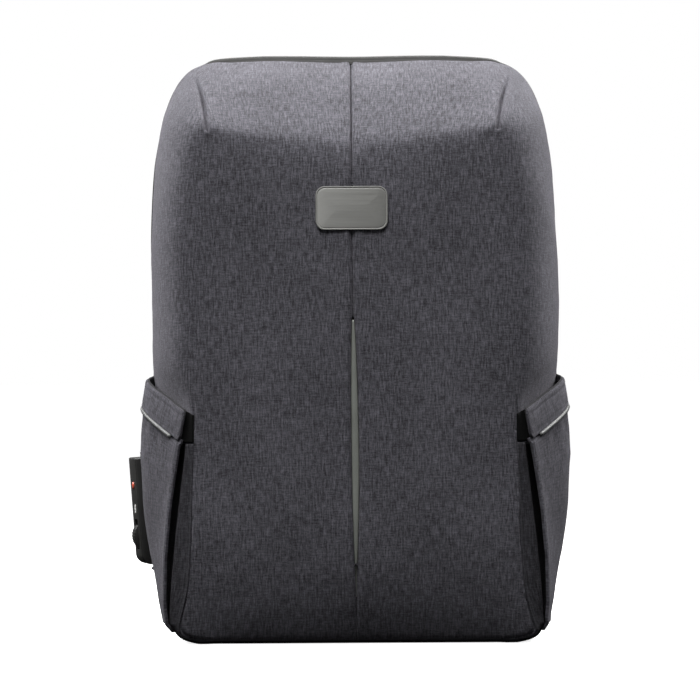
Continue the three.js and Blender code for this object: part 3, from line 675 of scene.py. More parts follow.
def front_half():
    """The right half of the front as a grid of points and the places of these on the flat cloth."""
    side = np.stack([outline(depth, COLUMNS) for depth in DEPTHS], axis=1)
    edge = side[:, -1]
    spine_z = lerp(SPINE_LOW, SPINE_HIGH, COLUMNS)
    face = []
    for share in FACE_STEPS:
        z = lerp(edge[:, 2], spine_z, share)
        x = lerp(edge[:, 0], slot_half(z) + SEAM_HALF_GAP, share)
        face.append(np.stack([x, face_y(z) - FACE_CROWN * (1 - (1 - share) ** 2), z], axis=1))
    grid = np.concatenate([side, np.stack(face, axis=1)], axis=1)
    grid[..., 0] = np.maximum(grid[..., 0], SEAM_HALF_GAP)
    grid = softened(grid, np.interp(COLUMNS * INTERVALS, BEND_ROWS, BEND_REACH))
    normals = grid_normals(grid)
    uv = weave_uv(grid, normals)
    x, _, z = np.moveaxis(grid, 2, 0)

    from_zip = lengths(grid)
    from_edge = from_zip - from_zip[:, [len(DEPTHS) - 1]]
    from_seam = x - slot_half(z)
    by_pocket = ramp(z, *EDGE_SEAM_Z) * ramp(x, *EDGE_SEAM_X)
    off_side = 1 - ramp(z, *SIDE_Z) * ramp(from_edge, *SIDE_FROM_EDGE)
    lift = (ridge(from_seam, SEAM_LIP) + ridge(from_seam, SEAM_GROOVE)) * ramp(z, *SEAM_FOOT_Z)
    lift += ripple(grid, SEAM_RIPPLE) * bump(from_seam, RIPPLE_REACH)
    lift -= ZIP_PINCH * np.clip(1 - from_zip / ZIP_PINCH_REACH, 0, 1) ** 2
    lift += ripple(grid, ZIP_RIPPLE) * bump(from_zip - ZIP_RIPPLE_PLACE, RIPPLE_REACH) * off_side
    lift += by_pocket * (ridge(from_edge, EDGE_LIP) + ridge(from_edge, EDGE_GROOVE))
    lift -= TOP_DIP * bump(from_zip, TOP_DIP_REACH) * ramp(x, *TOP_DIP_X) * ramp(z, *TOP_DIP_Z)
    away, along = dart_distance(grid)
    lift += ridge(away, DART_GROOVE) * ramp(along, *DART_FADE)
    lift += ridge(away, DART_FULL) * ramp(z, *DART_FULL_Z)
    lift += (ripple(grid, BROAD_RIPPLE) + ripple(grid, FINE_RIPPLE)) * off_side
    grid = grid + normals * (lift * ramp(from_zip, -1, 0.5))[..., None]
    grid[..., 0] = np.maximum(grid[..., 0], SEAM_HALF_GAP)
    return grid, uv


def mirrored(grid):
    return grid * np.array([-1, 1, 1])


def shifted(points, shift):
    """Points moved along X."""
    return points + np.stack([shift, 0 * shift, 0 * shift], axis=-1)


def slack(points):
    """The bag's left side, drawn in a little above its pocket and fuller at its shoulder."""
    x, _, z = np.moveaxis(points, -1, 0)
    drawn_in = SLACK * bump(z - SLACK_Z, SLACK_REACH) * ramp(-x, *SLACK_X)
    return shifted(points, drawn_in - SHOULDER_FULL * ramp(z, *SHOULDER_Z) * ramp(-x, *SHOULDER_X))


def lean(points):
    """The front's middle, which leans a little to the left towards the top."""
    x, _, z = np.moveaxis(points, -1, 0)
    return shifted(points, -MIDDLE_LEAN * ramp(z, *LEAN_Z) * np.clip(1 - (x / LEAN_HALF) ** 2, 0, 1))


def squared(points):
    """The bag's lower right corner, which is a little squarer than its left one."""
    x, _, z = np.moveaxis(points, -1, 0)
    return shifted(points, CORNER_FULL * ramp(x, *CORNER_X) * ramp(z, *CORNER_Z))


def on_side(points, left):
    """A right-hand piece's points as they lie on the bag's right or left side."""
    return slack(mirrored(points)) if left else squared(points)


SIDES = (("right", False), ("left", True))


def make_front():
    grid, uv = front_half()
    for side, left in SIDES:
        points = lean(on_side(grid, left))
        flat = uv * [-1, 1] if left else uv
        obj = thicken(grid_mesh(f"front_cloth_{side}", points, flat, flip=left), FRONT_WALL)
        add_piece(obj, MELANGE, [f"front_panel_{side}"])


INSERT_SECTION = (  # share of the slot's half width, distance past its edge, depth behind the front
    (0, 0, 0.3), (0.35, 0, 0.34), (0.65, 0, 0.45), (0.85, 0, 0.65), (0.95, 0, 1.1), (1, 0, 2.1),
    (1, 0.3, 4.6), (1, 2.5, 5),
)
INSERT_ROWS, INSERT_SHORT, INSERT_CLEAR, INSERT_WALL = 90, 2, 0.1, 0.9
INSERT_FOOT_SINK, INSERT_FOOT_Z = 2.4, (100, 45)  # it lies deeper where the bag turns under


def make_insert():
    """The strip that shows in the slot, with its edges tucked behind the cloth on either side."""
    z = np.linspace(INSERT_LOW + INSERT_SHORT, INSERT_HIGH - INSERT_SHORT, INSERT_ROWS)
    share, past, depth = np.array([*((-s, -p, d) for s, p, d in INSERT_SECTION[:0:-1]), *INSERT_SECTION]).T
    x = (slot_half(z) - INSERT_CLEAR)[:, None] * share + past
    y = (spine_y(z) + INSERT_FOOT_SINK * ramp(z, *INSERT_FOOT_Z))[:, None] + depth
    grid = np.stack([x, y, z[:, None] + 0 * x], axis=2)
    obj = thicken(grid_mesh("seam_insert", lean(grid), flip=True), INSERT_WALL)
    add_piece(obj, REFLECTIVE, ["reflective_insert"])


# Plate
PLATE_SIZE = (54.3, 33)
PLATE_CORNER, PLATE_LEAST_CORNER = 7, 0.8
PLATE_Z = 328.6
PLATE_BOW = 1.2  # how far its ends follow the bag's curve
PLATE_PROUD = 1.1
PLATE_RIM_RINGS = 8
PLATE_PROFILE = (  # inset from the edge, height out of the cloth
    (0.5, -0.9), (0.08, 0.2), (0, 0.8), (0.06, 1.15), (0.2, 1.3), (0.9, 1.33), (1.1, 1.15), (1.25, 0.98),
    (1.45, 0.95), (1.7, 1.04), (2.2, 1.08), (6, 1.1), (10, 1.1), (14, 1.1),
)


def oblong(width, height, corner, steps=10):
    """Points of a rounded rectangle, counter-clockwise."""
    points = []
    for quarter in range(4):
        angles = quarter * math.pi / 2 + np.linspace(0, math.pi / 2, steps)
        cx = (width / 2 - corner) * (1 if quarter in (0, 3) else -1)
        cy = (height / 2 - corner) * (1 if quarter in (0, 1) else -1)
        points += [(cx + corner * math.cos(a), cy + corner * math.sin(a)) for a in angles]
    return np.array(points)


def make_plate():
    rings = []
    for inset, height in PLATE_PROFILE:
        size = [length - 2 * inset for length in PLATE_SIZE]
        rings.append(at_depth(oblong(*size, max(PLATE_CORNER - inset, PLATE_LEAST_CORNER)), -height))
    grid = np.stack(rings)
    grid[..., 1] += PLATE_BOW * (2 * grid[..., 0] / PLATE_SIZE[0]) ** 2
    tilt = math.atan(FACE_LEAN / HEIGHT)
    turn = np.array(Matrix.Rotation(-tilt, 3, "X"))
    grid = grid @ turn.T + lean(np.array([0, spine_y(PLATE_Z) - PLATE_PROUD, PLATE_Z]))
    obj = grid_mesh("front_plate", grid, close=True, caps=True)
    add_piece(obj, PLATE, ["name_plate"])
    obj.data.materials.append(PLATE_RIM)
    on_rim = PLATE_RIM_RINGS * grid.shape[1]
    for face in obj.data.polygons:
        face.material_index = int(face.index < on_rim)


# Zip, band behind it and base
ZIP_START_COLUMN = int(np.searchsorted(COLUMNS, ZIP_START_ROW / INTERVALS))
ZIP_ACROSS = np.array([
    -2, -0.2, 0, 0.5, 1.2, 2.2, 3.4, 4.5, 5.05, 5.4, 5.7, 6, 6.35, 6.9, 8, 9.2, 10.2, 10.9, 11.4, 11.6, 13.4,
])
ZIP_MIDDLE, ZIP_FAR_EDGE, ZIP_WALL, ZIP_CLEAR = 5.7, 11.5, 1.2, 0.3
ZIP_RISE = np.clip(1 - np.abs(ZIP_ACROSS / ZIP_MIDDLE - 1) ** 5, 0, 1)
ZIP_FLANGE = 3.3 * ((ZIP_ACROSS < 0) | (ZIP_ACROSS > ZIP_FAR_EDGE))  # its edges lie under the cloth
ZIP_GROOVE = (0.75, ZIP_MIDDLE, 0.42)  # depth, place and reach of the line where its two halves meet
ZIP_SIDE_DOME, ZIP_TOP_DOME, ZIP_SEAT = 0.1, 2.3, -0.3
ZIP_TOP_TURN = (0.95, 0.997)  # how far up the outline faces where the side's dome becomes the top's
ZIP_RIGHT_THIN, ZIP_RIGHT_X = 0.2, (30, 110)  # the share that the top's dome loses towards the right corner
ZIP_LOW_PROUD, ZIP_LOW_Z = 1.4, (212, 190)  # below the shoulders it stands out, under the lock and its pulls
ZIP_END_COLUMNS, ZIP_END_SINK = 3, 1.8
# At the left shoulder it stands out more, and shows beside the cloth
ZIP_LEFT_PROUD, ZIP_LEFT_X, ZIP_LEFT_LOW, ZIP_LEFT_HIGH = 1.0, (100, 140), (262, 282), (392, 362)


def make_zip():
    loop, normal = full_loop()
    start = ZIP_START_COLUMN - ZIP_END_COLUMNS
    keep = slice(start, 2 * (len(COLUMNS) - 1) - start + 1)
    loop, normal = loop[keep], normal[keep]
    x, height = loop.T
    top_dome = ZIP_TOP_DOME * (1 - ZIP_RIGHT_THIN * ramp(x, *ZIP_RIGHT_X))
    dome = lerp(ZIP_SIDE_DOME, top_dome, ramp(normal[:, 1], *ZIP_TOP_TURN))
    shoulder = ramp(height, *ZIP_LEFT_LOW) * ramp(height, *ZIP_LEFT_HIGH)
    dome = dome + ZIP_LEFT_PROUD * ramp(-x, *ZIP_LEFT_X) * shoulder
    dome += ZIP_LOW_PROUD * ramp(height, *ZIP_LOW_Z)
    from_end = np.minimum(np.arange(len(loop)), np.arange(len(loop))[::-1])
    sink = ZIP_END_SINK * ramp(from_end, ZIP_END_COLUMNS, 1)
    out = ZIP_SEAT + dome[:, None] * ZIP_RISE - ridge(ZIP_ACROSS, ZIP_GROOVE) - ZIP_FLANGE - sink[:, None]
    place = loop[:, None] + normal[:, None] * out[..., None]
    y = np.broadcast_to(SEAM_Y + ZIP_CLEAR + ZIP_ACROSS, out.shape)
    grid = slack(np.stack([place[..., 0], y, place[..., 1]], axis=2))
    obj = thicken(grid_mesh("zip_strip", grid, flip=True), ZIP_WALL)
    add_piece(obj, COATED_ZIP, ["zip_band"])


BAND_SHARES = np.concatenate([[0, 0.02, 0.05], np.linspace(0.1, 0.9, 11), [0.95, 0.98, 1, 1.07]])
BAND_CROWN, BAND_WALL = 0.9, 2.2
BAND_PUCKER, BAND_RIPPLE = (0.22, 13, 21), (0.3, 60, 22)  # along its seams, and all over
BAND_SEAMS, BAND_SEAM_REACH = (0.06, 0.94), 0.12
BAND_UNDER, BAND_UNDER_SHARE = (0.5, 0.9), 0.3  # it lies flatter where it faces the floor


def make_back_band():
    loop, normal = full_loop()
    count = len(loop)
    place = np.minimum(np.arange(count), count - np.arange(count))
    by_zip = ramp(place, ZIP_START_COLUMN - 1.5, ZIP_START_COLUMN - 0.5)
    front = lerp(SEAM_Y + ZIP_CLEAR, ZIP_END_Y, by_zip)
    share = BAND_SHARES
    y = front[:, None] + (BACK_Y - front)[:, None] * share
    base = np.stack([loop[:, None, 0] + 0 * y, y, loop[:, None, 1] + 0 * y], axis=2)
    out = BAND_CROWN * (1 - (2 * share - 1) ** 4) - BAND_CROWN + 0 * y
    out += ripple(base, BAND_PUCKER) * sum(bump(share - seam, BAND_SEAM_REACH) for seam in BAND_SEAMS)
    out += ripple(base, BAND_RIPPLE) * np.sin(math.pi * share)
    under = ramp(-normal[:, 1], *BAND_UNDER)[:, None]
    out = lerp(out, np.minimum(out, 0) * BAND_UNDER_SHARE, under)
    grid = base + np.stack([normal[:, None, 0] * out, 0 * out, normal[:, None, 1] * out], axis=2)
    along = np.cumsum(np.linalg.norm(loop - np.roll(loop, 1, axis=0), axis=1))
    uv = np.stack([y, along[:, None] + 0 * y], axis=2) * MM
    obj = thicken(grid_mesh("back_band", squared(slack(grid)), uv, wrap=True, flip=True), BAND_WALL)
    add_piece(obj, MELANGE, ["back_gusset"])


BASE_FRONT, BASE_BACK = -55, 61
BASE_REACH = 146  # from the middle along the bag's outline, round its corner
BASE_CORNER, BASE_TURN_UP = 24, 26
BASE_DROP, BASE_EDGE_DROP = 2, 1  # how far its outside lies off the bag, under it and at its turned-up ends
BASE_WALL = 1.3


def bag_bottom(y, places, drop):
    """Points under the bag at a depth y, at places along its outline from the middle, moved off it."""
    front = face_y(OUTLINE[0, 3])
    line = outline(max(0, (SEAM_Y - y) / (SEAM_Y - front)), np.linspace(0, 4 / INTERVALS, 240))[:, [0, 2]]
    out = np.gradient(line, axis=0)[:, ::-1] * [1, -1]
    x, z, out_x, out_z = (np.interp(places, lengths(line), field) for field in (*line.T, *unit(out).T))
    return at_depth(np.column_stack([x + out_x * drop, z + out_z * drop]), y)


def make_base():
    """A skin under the bag that turns up round its lower corners."""
    columns = []
    for turn in np.linspace(0, math.pi, 41):
        y = lerp(BASE_FRONT, BASE_BACK, (1 - math.cos(turn)) / 2)
        from_edge = min(y - BASE_FRONT, BASE_BACK - y)
        rounding = 1 - math.sqrt(1 - max(0, 1 - from_edge / BASE_CORNER) ** 2)
        places = np.linspace(0, BASE_REACH - BASE_CORNER * rounding, 70)
        drop = lerp(BASE_DROP, BASE_EDGE_DROP, ramp(places, BASE_REACH - BASE_TURN_UP, BASE_REACH))
        right = bag_bottom(y, places, drop)
        columns.append(np.vstack([mirrored(right[:0:-1]), right]))
    grid = np.stack(columns, axis=1)
    grid[..., 2] = np.maximum(grid[..., 2], 0)
    obj = soften(thicken(grid_mesh("base_cloth", squared(grid), flip=True), BASE_WALL), 0.5, 60)
    add_piece(obj, BASE_CLOTH, ["base_panel"])


# Side pockets
POCKET = np.array([  # front_x, front_y, front_z, wide_x, wide_z, sewn_z
    (138, -57, 8, 141, 9, 10.5),
    (144, -62, 15, 147.5, 15, 15),
    (145.5, -65, 32, 150.8, 32, 32),
    (144.5, -67, 66, 157, 68, 68),
    (141, -69, 102, 162.3, 106, 106),
    (136.3, -71, 132, 165.2, 142, 144),
    (133, -72.5, 152.5, 163.2, 178, 182),
    (128.6, -74, 176.2, 159.4, 198.5, 202),
])
POCKET_WIDE_Y, POCKET_SEWN_Y, POCKET_SEWN_OUT = -8, 19, 1
POCKET_WALL, PANEL_WALL, PLEAT_WALL, ELASTIC_WALL = 2.2, 2.0, 1.0, 1.5
HEM, RIM = 6, 7
CUFF_START = HEM + 0.035
POCKET_ACROSS = np.linspace(0, 1, 61)
PIPING_RADIUS = 1.7


def pocket_line(level, out=0.0, shares=POCKET_ACROSS):
    """The line across the right pocket at a level of its table, moved out level with the floor."""
    low = min(int(level), len(POCKET) - 2)
    row = lerp(POCKET[low], POCKET[low + 1], level - low)
    front_x, front_y, front_z, wide_x, wide_z, sewn_z = row
    sewn = side_point(sewn_z, (SEAM_Y - POCKET_SEWN_Y) / (SEAM_Y - FACE_Y))
    sewn_x = sewn[0] + POCKET_SEWN_OUT
    corners = [
        (front_x, front_y, front_z),
        (max(wide_x, sewn_x), POCKET_WIDE_Y, wide_z),
        (sewn_x, POCKET_SEWN_Y, sewn_z),
    ]
    line = spline(corners, shares)
    along = np.gradient(line, axis=0)
    normal = unit(np.column_stack([along[:, 1], -along[:, 0], 0 * along[:, 0]]))
    return line + normal * np.asarray(out, float).reshape(-1, 1)


def pocket_grid(levels, outs):
    return np.stack([pocket_line(level, out) for level, out in zip(levels, outs)])


POCKET_FOOT = np.array([  # level, distance out: its foot is turned under
    (0.3, -2.6), (0.22, -2.2), (0.16, -1.4), (0.14, -0.6), (0.15, -0.15),
])
POCKET_TOP = (5.7, 5.8, 5.86, 5.9, 5.93, 5.96, 5.99, 6.02, 6.06, 6.1)
# Its edges: height out of the cloth, then place and reach as shares across
POCKET_LIP, POCKET_EDGE, POCKET_SEAM = (0.7, 0.025, 0.02), (-0.5, 0, 0.008), (-0.7, 1, 0.02)
POCKET_PUCKER, POCKET_RIPPLE = (0.5, 15, 31), (0.8, 42, 32)
POCKET_STRETCH = np.array([1, 1, 0.55])  # its ripples run longer up the pocket
HEM_SINK = 1.4


def pocket_panel_grid():
    levels = np.concatenate([POCKET_FOOT[:, 0], np.linspace(0.2, 5.6, 64), POCKET_TOP])
    foot = len(POCKET_FOOT)
    outs = np.zeros(len(levels))
    outs[:foot] = POCKET_FOOT[:, 1]
    grid = pocket_grid(levels, outs)
    normals = -grid_normals(grid)
    level, across = np.meshgrid(levels, POCKET_ACROSS, indexing="ij")
    lift = ridge(across, POCKET_LIP) + ridge(across, POCKET_EDGE) + ridge(across, POCKET_SEAM)
    lift += ripple(grid, POCKET_PUCKER) * bump(level - HEM, 0.8) * ramp(across, 0, 0.15)
    lift += ripple(grid * POCKET_STRETCH, POCKET_RIPPLE) * np.sin(math.pi * across) * ramp(level, 0.6, 1.6)
    lift -= HEM_SINK * ramp(level, HEM - 0.07, HEM + 0.01)
    lift[:foot] = 0
    return grid + normals * lift[..., None]


CUFF_RING = (  # level between its lower and upper edge, distance out of the pocket's line
    (0.0, -0.2), (0.015, 0.4), (0.05, 0.75), (0.11, 0.75), (0.15, 0.5), (0.19, 0.75), (0.4, 0.85),
    (0.6, 0.85), (0.78, 0.8), (0.81, 0.5), (0.84, 0.8), (0.92, 0.85), (0.97, 0.65), (0.995, 0.1),
    (1.0, -0.5), (0.985, -0.85), (1.03, -1.0), (1.05, -1.4), (1.04, -1.9), (0.97, -2.2), (0.9, -2.3),
    (0.6, -2.2), (0.3, -2.2), (0.06, -2.2), (0.01, -1.7),
)
CUFF_RIPPLE, CUFF_PUCKER = (0.45, 40, 41), (0.06, 14, 42)
CUFF_OUTSIDE, CUFF_INSIDE = 6, 21  # rows of the ring on its outer and inner face
CUFF_SHADE_ROWS = (15, 22)  # between these rows its inner faces take the dark cloth, painted shade of the gap by the bag
CUFF_ENDS = ((0, 0.35), (0.004, 0.75), (0.011, 0.95))  # share along the cuff, and the ring's size there


def cuff_grid():
    ends = [place for place, _ in CUFF_ENDS]
    shares = np.concatenate([ends, np.linspace(0.02, 0.98, 58), [1 - place for place in ends[::-1]]])
    sizes = np.ones(len(shares))
    for k, (_, size) in enumerate(CUFF_ENDS):
        sizes[k] = sizes[-1 - k] = size
    rows = [pocket_line(lerp(CUFF_START, RIM, level), out, shares) for level, out in CUFF_RING]
    grid = np.stack(rows)
    normals = unit(np.broadcast_to(grid[CUFF_OUTSIDE] - grid[CUFF_INSIDE], grid.shape))
    lift = ripple(grid, CUFF_RIPPLE) + ripple(grid, CUFF_PUCKER)
    grid = grid + normals * (lift * np.sin(math.pi * shares) ** 0.5)[..., None]
    middle = grid.mean(axis=0)
    return np.moveaxis(middle + (grid - middle) * sizes[:, None], 0, 1)


PLEAT_FOLD_LOW, PLEAT_FOLD_HIGH = 0.86, 0.62  # how far from seam to pocket its outer fold lies
PLEAT_FOLD_SPAN = (0.5, 5)  # levels between which that changes
PLEAT_FOLD_BACK, PLEAT_TURN_BACK = (0, 4.5, 0), (0, 3, 0)
PLEAT_TUCK_IN, PLEAT_ROLL = (-0.8, 0, 0), (0, -1.3, 0)
PLEAT_SEAM, PLEAT_BESIDE, PLEAT_BEHIND = (0.996, 0.2), (0.975, 0.9), (0.8, 1.8)  # depth, distance out
PANEL_POINTS, PLEAT_END, PLEAT_TURN = 21, 4, 6  # the panel's points that it ends at and turns towards
PLEAT_RIPPLE = (0.2, 30, 51)
PLEAT_ACROSS = 36
PLEAT_SHADE_FROM = 17  # from here on the fold takes the dark cloth, painted shade deep in the tuck


def pleat_grid():
    """The tuck beside the pocket: out from the seam to a fold, back along the bag, forward to the panel."""
    rows = []
    for level in np.linspace(0.2, HEM - 0.04, 60):
        panel = pocket_line(level, 0.3 - POCKET_WALL, np.linspace(0, 1, PANEL_POINTS))
        edge, end, inside = panel[0], panel[PLEAT_END], panel[PLEAT_TURN]
        places = (PLEAT_SEAM, PLEAT_BESIDE, PLEAT_BEHIND)
        seam, beside, behind = (side_out(edge[2], *place) for place in places)
        reach = lerp(PLEAT_FOLD_LOW, PLEAT_FOLD_HIGH, ramp(level, *PLEAT_FOLD_SPAN))
        fold = lerp(seam, edge, reach) + PLEAT_FOLD_BACK
        turn = lerp(behind, inside, 0.55) + PLEAT_TURN_BACK
        tucked = lerp(fold, behind, 0.35) + PLEAT_TUCK_IN
        rolled = lerp(beside, fold, 0.6) + PLEAT_ROLL
        line = [seam, beside, rolled, fold, tucked, behind, turn, end]
        rows.append(spline(line, np.linspace(0, 1, PLEAT_ACROSS)))
    grid = np.stack(rows)
    lift = ripple(grid, PLEAT_RIPPLE) * np.sin(math.pi * np.linspace(0, 1, PLEAT_ACROSS))
    return grid - grid_normals(grid) * lift[..., None]


ELASTIC_DROP = 4  # its upper edge falls towards the seam
ELASTIC_DRAW = (-0.6, 1.6, 0)
ELASTIC_SEAM, ELASTIC_CUFF = (0.997, 0.3), (-1.6, 0.03)  # depth and distance out, and out and share across


def elastic_grid():
    """The stretch band between the bag's seam and the cuff, drawn in a little between them."""
    rows = []
    for level in np.linspace(HEM - 0.06, RIM - 0.02, 26):
        out, share = ELASTIC_CUFF
        cuff = pocket_line(level, out, [0, share])[1]
        seam = side_out(cuff[2] - ELASTIC_DROP * ramp(level, RIM - 0.4, RIM), *ELASTIC_SEAM)
        middle = (seam + cuff) / 2 + ELASTIC_DRAW
        rows.append(spline([seam, middle, cuff], np.linspace(0, 1, 15)))
    return np.stack(rows)


def tube_grid(line, radius, sides=10):
    """Rings of a round tube along points."""
    along = unit(np.gradient(line, axis=0))
    first = unit(np.cross(along, np.array([0.1, 0.2, 1])))
    second = np.cross(along, first)
    angles = circle(sides)[:, None]
    ring = first[:, None] * np.cos(angles) + second[:, None] * np.sin(angles)
    return line[:, None] + ring * radius


def paint_shade_faces(obj, columns, first, last):
    """Gives the faces between two columns of a grid mesh the dark inner cloth: painted shade."""
    obj.data.materials.append(SHADE_LINING)
    lined = [first <= face % columns < last for face in range(len(obj.data.polygons))]
    obj.data.polygons.foreach_set("material_index", np.array(lined, np.int32))


PIPING_SHARES = np.linspace(0.09, 1, 70)
PIPING_OUT, PIPING_FADE = (0.4, -0.5), (0.2, 0.5)  # how far out of the hem it lies, in front and behind


def pocket_piece(side, name, grid, material, slot, node, wall=0, uv=None):
    """A piece of a side pocket: a sheet with a wall, or a closed ring where that is 0."""
    left = side == "left"
    points = on_side(grid, left)
    if wall:
        obj = thicken(grid_mesh(f"{name}_{side}", points, uv, flip=not left), wall)
    else:
        obj = grid_mesh(f"{name}_{side}", points, uv, close=True, caps=True, flip=left)
    return add_piece(obj, material, [f"{node}_{side}"])


def make_pockets():
    panel, cuff, pleat, elastic = pocket_panel_grid(), cuff_grid(), pleat_grid(), elastic_grid()
    out = lerp(*PIPING_OUT, ramp(PIPING_SHARES, *PIPING_FADE))
    piping = tube_grid(pocket_line(HEM - 0.015, out, PIPING_SHARES), PIPING_RADIUS)
    cuff_uv = own_uv(cuff)[..., ::-1]
    for side, _ in SIDES:
        # The panel and cuff take the darker copy of the melange, which is painted shade
        obj = pocket_piece(side, "pocket_shaded_cloth", panel, POCKET_SHADED_CLOTH, "melange", "pocket_panel", PANEL_WALL)
        soften(obj, 0.6, 60)
        obj = pocket_piece(side, "pocket_band", cuff, POCKET_SHADED_CLOTH, "melange", "pocket_cuff", uv=cuff_uv)
        # The cuff's inner faces take the dark cloth, painted shade
        paint_shade_faces(obj, len(CUFF_RING), *CUFF_SHADE_ROWS)
        pocket_piece(side, "pocket_cord", piping, PIPING, "reflective", "pocket_piping")
        # The tuck takes the darker copy of the melange, which is painted shade
        obj = pocket_piece(side, "pocket_pleat", pleat, PLEAT_SHADED_CLOTH, "melange", "pocket_gusset", PLEAT_WALL)
        # The tuck's deep part takes the dark cloth, painted shade
        paint_shade_faces(obj, PLEAT_ACROSS - 1, PLEAT_SHADE_FROM, PLEAT_ACROSS)
        # The elastic is black, and darker still as painted shade
        stretch = "pocket_stretch", elastic, ELASTIC_SHADED, "elastic", "pocket_elastic"
        obj = pocket_piece(side, *stretch, ELASTIC_WALL)


# Lock: +Z along its length, -X out of its face, +Y across its width
LOCK_FRAME = (
    Matrix.Translation((-156.3, 41, 98.9))
    @ Matrix.Rotation(math.radians(11.5), 4, "Z")
    @ Matrix.Rotation(math.radians(-4), 4, "Y")
)
LOCK_HALF_LENGTH, LOCK_HALF_WIDTH, LOCK_FACE = 41.5, 15, -14.5
LOCK_END_ROUND, LOCK_EDGE, LOCK_SEAT = 8, 1.3, 1.45
KEY_Z, KEY_RADIUS, KEY_DEPTH, KEY_PROUD, KEY_CLEAR = 2, 3.5, 7, 0.1, 0.35
KEYWAY_HALF_LENGTH, KEYWAY_HALF_WIDTH, KEYWAY_DEPTH = 2.3, 0.6, 2.9
DOT_Z, DOT_RADIUS, DOT_RISE = 20, 2.9, 1.1
DOT_PROFILE = ((1, 0), (1, 0.35), (0.9, 0.72), (0.6, 0.94), (0.2, 1))  # shares of its radius and rise
SLIDER_Z, SLIDER_LENGTH, SLIDER_WIDTH = -19.6, 17.5, 12
SLIDER_PROUD, SLIDER_END, SLIDER_FOOT = 3.2, 0.4, 3.4  # height out of the face, and depths behind it
SLIDER_RIB, SLIDER_RIB_PITCH, SLIDER_RIB_SPAN = 0.3, 2.4, (6.5, 4.5)
SLIDER_ROOM_UP, SLIDER_ROOM_DOWN, SLIDER_CLEAR = 4.6, 1.4, 0.4


def lock_place(point):
    return (LOCK_FRAME @ Vector(point)) * MM


def on_bag(y, z):
    """How deep the lock reaches at a point of its back, so that it sits on the zip."""
    world_z = LOCK_FRAME.translation.z + z
    skin = -(side_point(world_z, 0.0)[0] + LOCK_SEAT)
    row = LOCK_FRAME.row[0]
    return (skin - row[3] - row[1] * y - row[2] * z) / row[0]


def drawn(rings):
    """A closed bmesh solid between two rings of points."""
    bm = bmesh.new()
    first, last = ([bm.verts.new(point) for point in ring] for ring in rings)
    for i in range(len(first)):
        bm.faces.new((first[i - 1], first[i], last[i], last[i - 1]))
    bm.faces.new(first[::-1])
    bm.faces.new(last)
    bmesh.ops.recalc_face_normals(bm, faces=bm.faces)
    return bm


def prism(profile, half_width):
    """A solid from a closed side profile of (x, z), drawn out across y."""
    return drawn([[(x, y, z) for x, z in profile] for y in (-half_width, half_width)])


def block(x_span, z_span, half_width):
    (x_low, x_high), (z_low, z_high) = x_span, z_span
    return prism([(x_low, z_low), (x_high, z_low), (x_high, z_high), (x_low, z_high)], half_width)


def disc(radius, x_span, z, sides=40):
    """A round post along the lock's x."""
    ring = [(radius * math.cos(a), z + radius * math.sin(a)) for a in circle(sides)]
    return drawn([[(x, *point) for point in ring] for x in x_span])


def bevel(bm, offset, segments=3, angle=30):
    """Rounds a solid's edges that turn by more than an angle in degrees."""
    sharp = [edge for edge in bm.edges if edge.calc_face_angle(0) > math.radians(angle)]
    bmesh.ops.bevel(bm, geom=sharp, offset=offset, segments=segments, profile=0.5, affect="EDGES")
    return bm


def lock_object(name, bm, crease=40):
    for vert in bm.verts:
        vert.co = lock_place(vert.co)
    return bm_object(name, bm, crease)


def carve(obj, *tools):
    """Cuts tools out of an object for good."""
    for item in (obj, *tools):
        scene.collection.objects.link(item)
    for tool in tools:
        cut = obj.modifiers.new("cut", "BOOLEAN")
        cut.operation = "DIFFERENCE"
        cut.solver = "EXACT"
        cut.object = tool
    settle(obj)
    for tool in tools:
        bpy.data.objects.remove(tool)
    obj.data.set_sharp_from_angle(angle=math.radians(30))


def make_lock_body():
    low = LOCK_END_ROUND - LOCK_HALF_LENGTH
    profile = [(0, LOCK_HALF_LENGTH), (LOCK_FACE, LOCK_HALF_LENGTH)]
    for a in np.linspace(math.pi, 1.5 * math.pi, 12):
        profile.append((LOCK_FACE + LOCK_END_ROUND * (1 + math.cos(a)), low + LOCK_END_ROUND * math.sin(a)))
    profile.append((0, -LOCK_HALF_LENGTH))
    bm = prism(profile, LOCK_HALF_WIDTH)
    for vert in bm.verts:
        if abs(vert.co.x) < 1e-6:
            vert.co.x = on_bag(vert.co.y, vert.co.z)
    body = lock_object("lock_case", bevel(bm, LOCK_EDGE), 30)
    bore = disc(KEY_RADIUS + KEY_CLEAR, (LOCK_FACE - 2, LOCK_FACE + KEY_DEPTH + 0.3), KEY_Z)
    half = (SLIDER_LENGTH + SLIDER_ROOM_UP + SLIDER_ROOM_DOWN) / 2
    middle = SLIDER_Z + (SLIDER_ROOM_UP - SLIDER_ROOM_DOWN) / 2
    deep = LOCK_FACE + SLIDER_FOOT + SLIDER_CLEAR
    track = block((LOCK_FACE - 3, deep), (middle - half, middle + half), SLIDER_WIDTH / 2 + SLIDER_CLEAR)
    carve(body, lock_object("bore", bore), lock_object("track", track))
    soften(body, 0.3, 40)
    add_piece(body, LOCK_PLASTIC, ["lock_body"])


def make_key_plug():
    face = LOCK_FACE - KEY_PROUD
    plug = lock_object("key_plug", disc(KEY_RADIUS, (face, face + KEY_DEPTH), KEY_Z, 48), 30)
    span = (KEY_Z - KEYWAY_HALF_LENGTH, KEY_Z + KEYWAY_HALF_LENGTH)
    keyway = block((LOCK_FACE - 2, LOCK_FACE + KEYWAY_DEPTH), span, KEYWAY_HALF_WIDTH)
    carve(plug, lock_object("keyway", bevel(keyway, 0.2, 1)))
    add_piece(plug, LOCK_METAL, ["lock_key_cylinder"], body="key_plug")


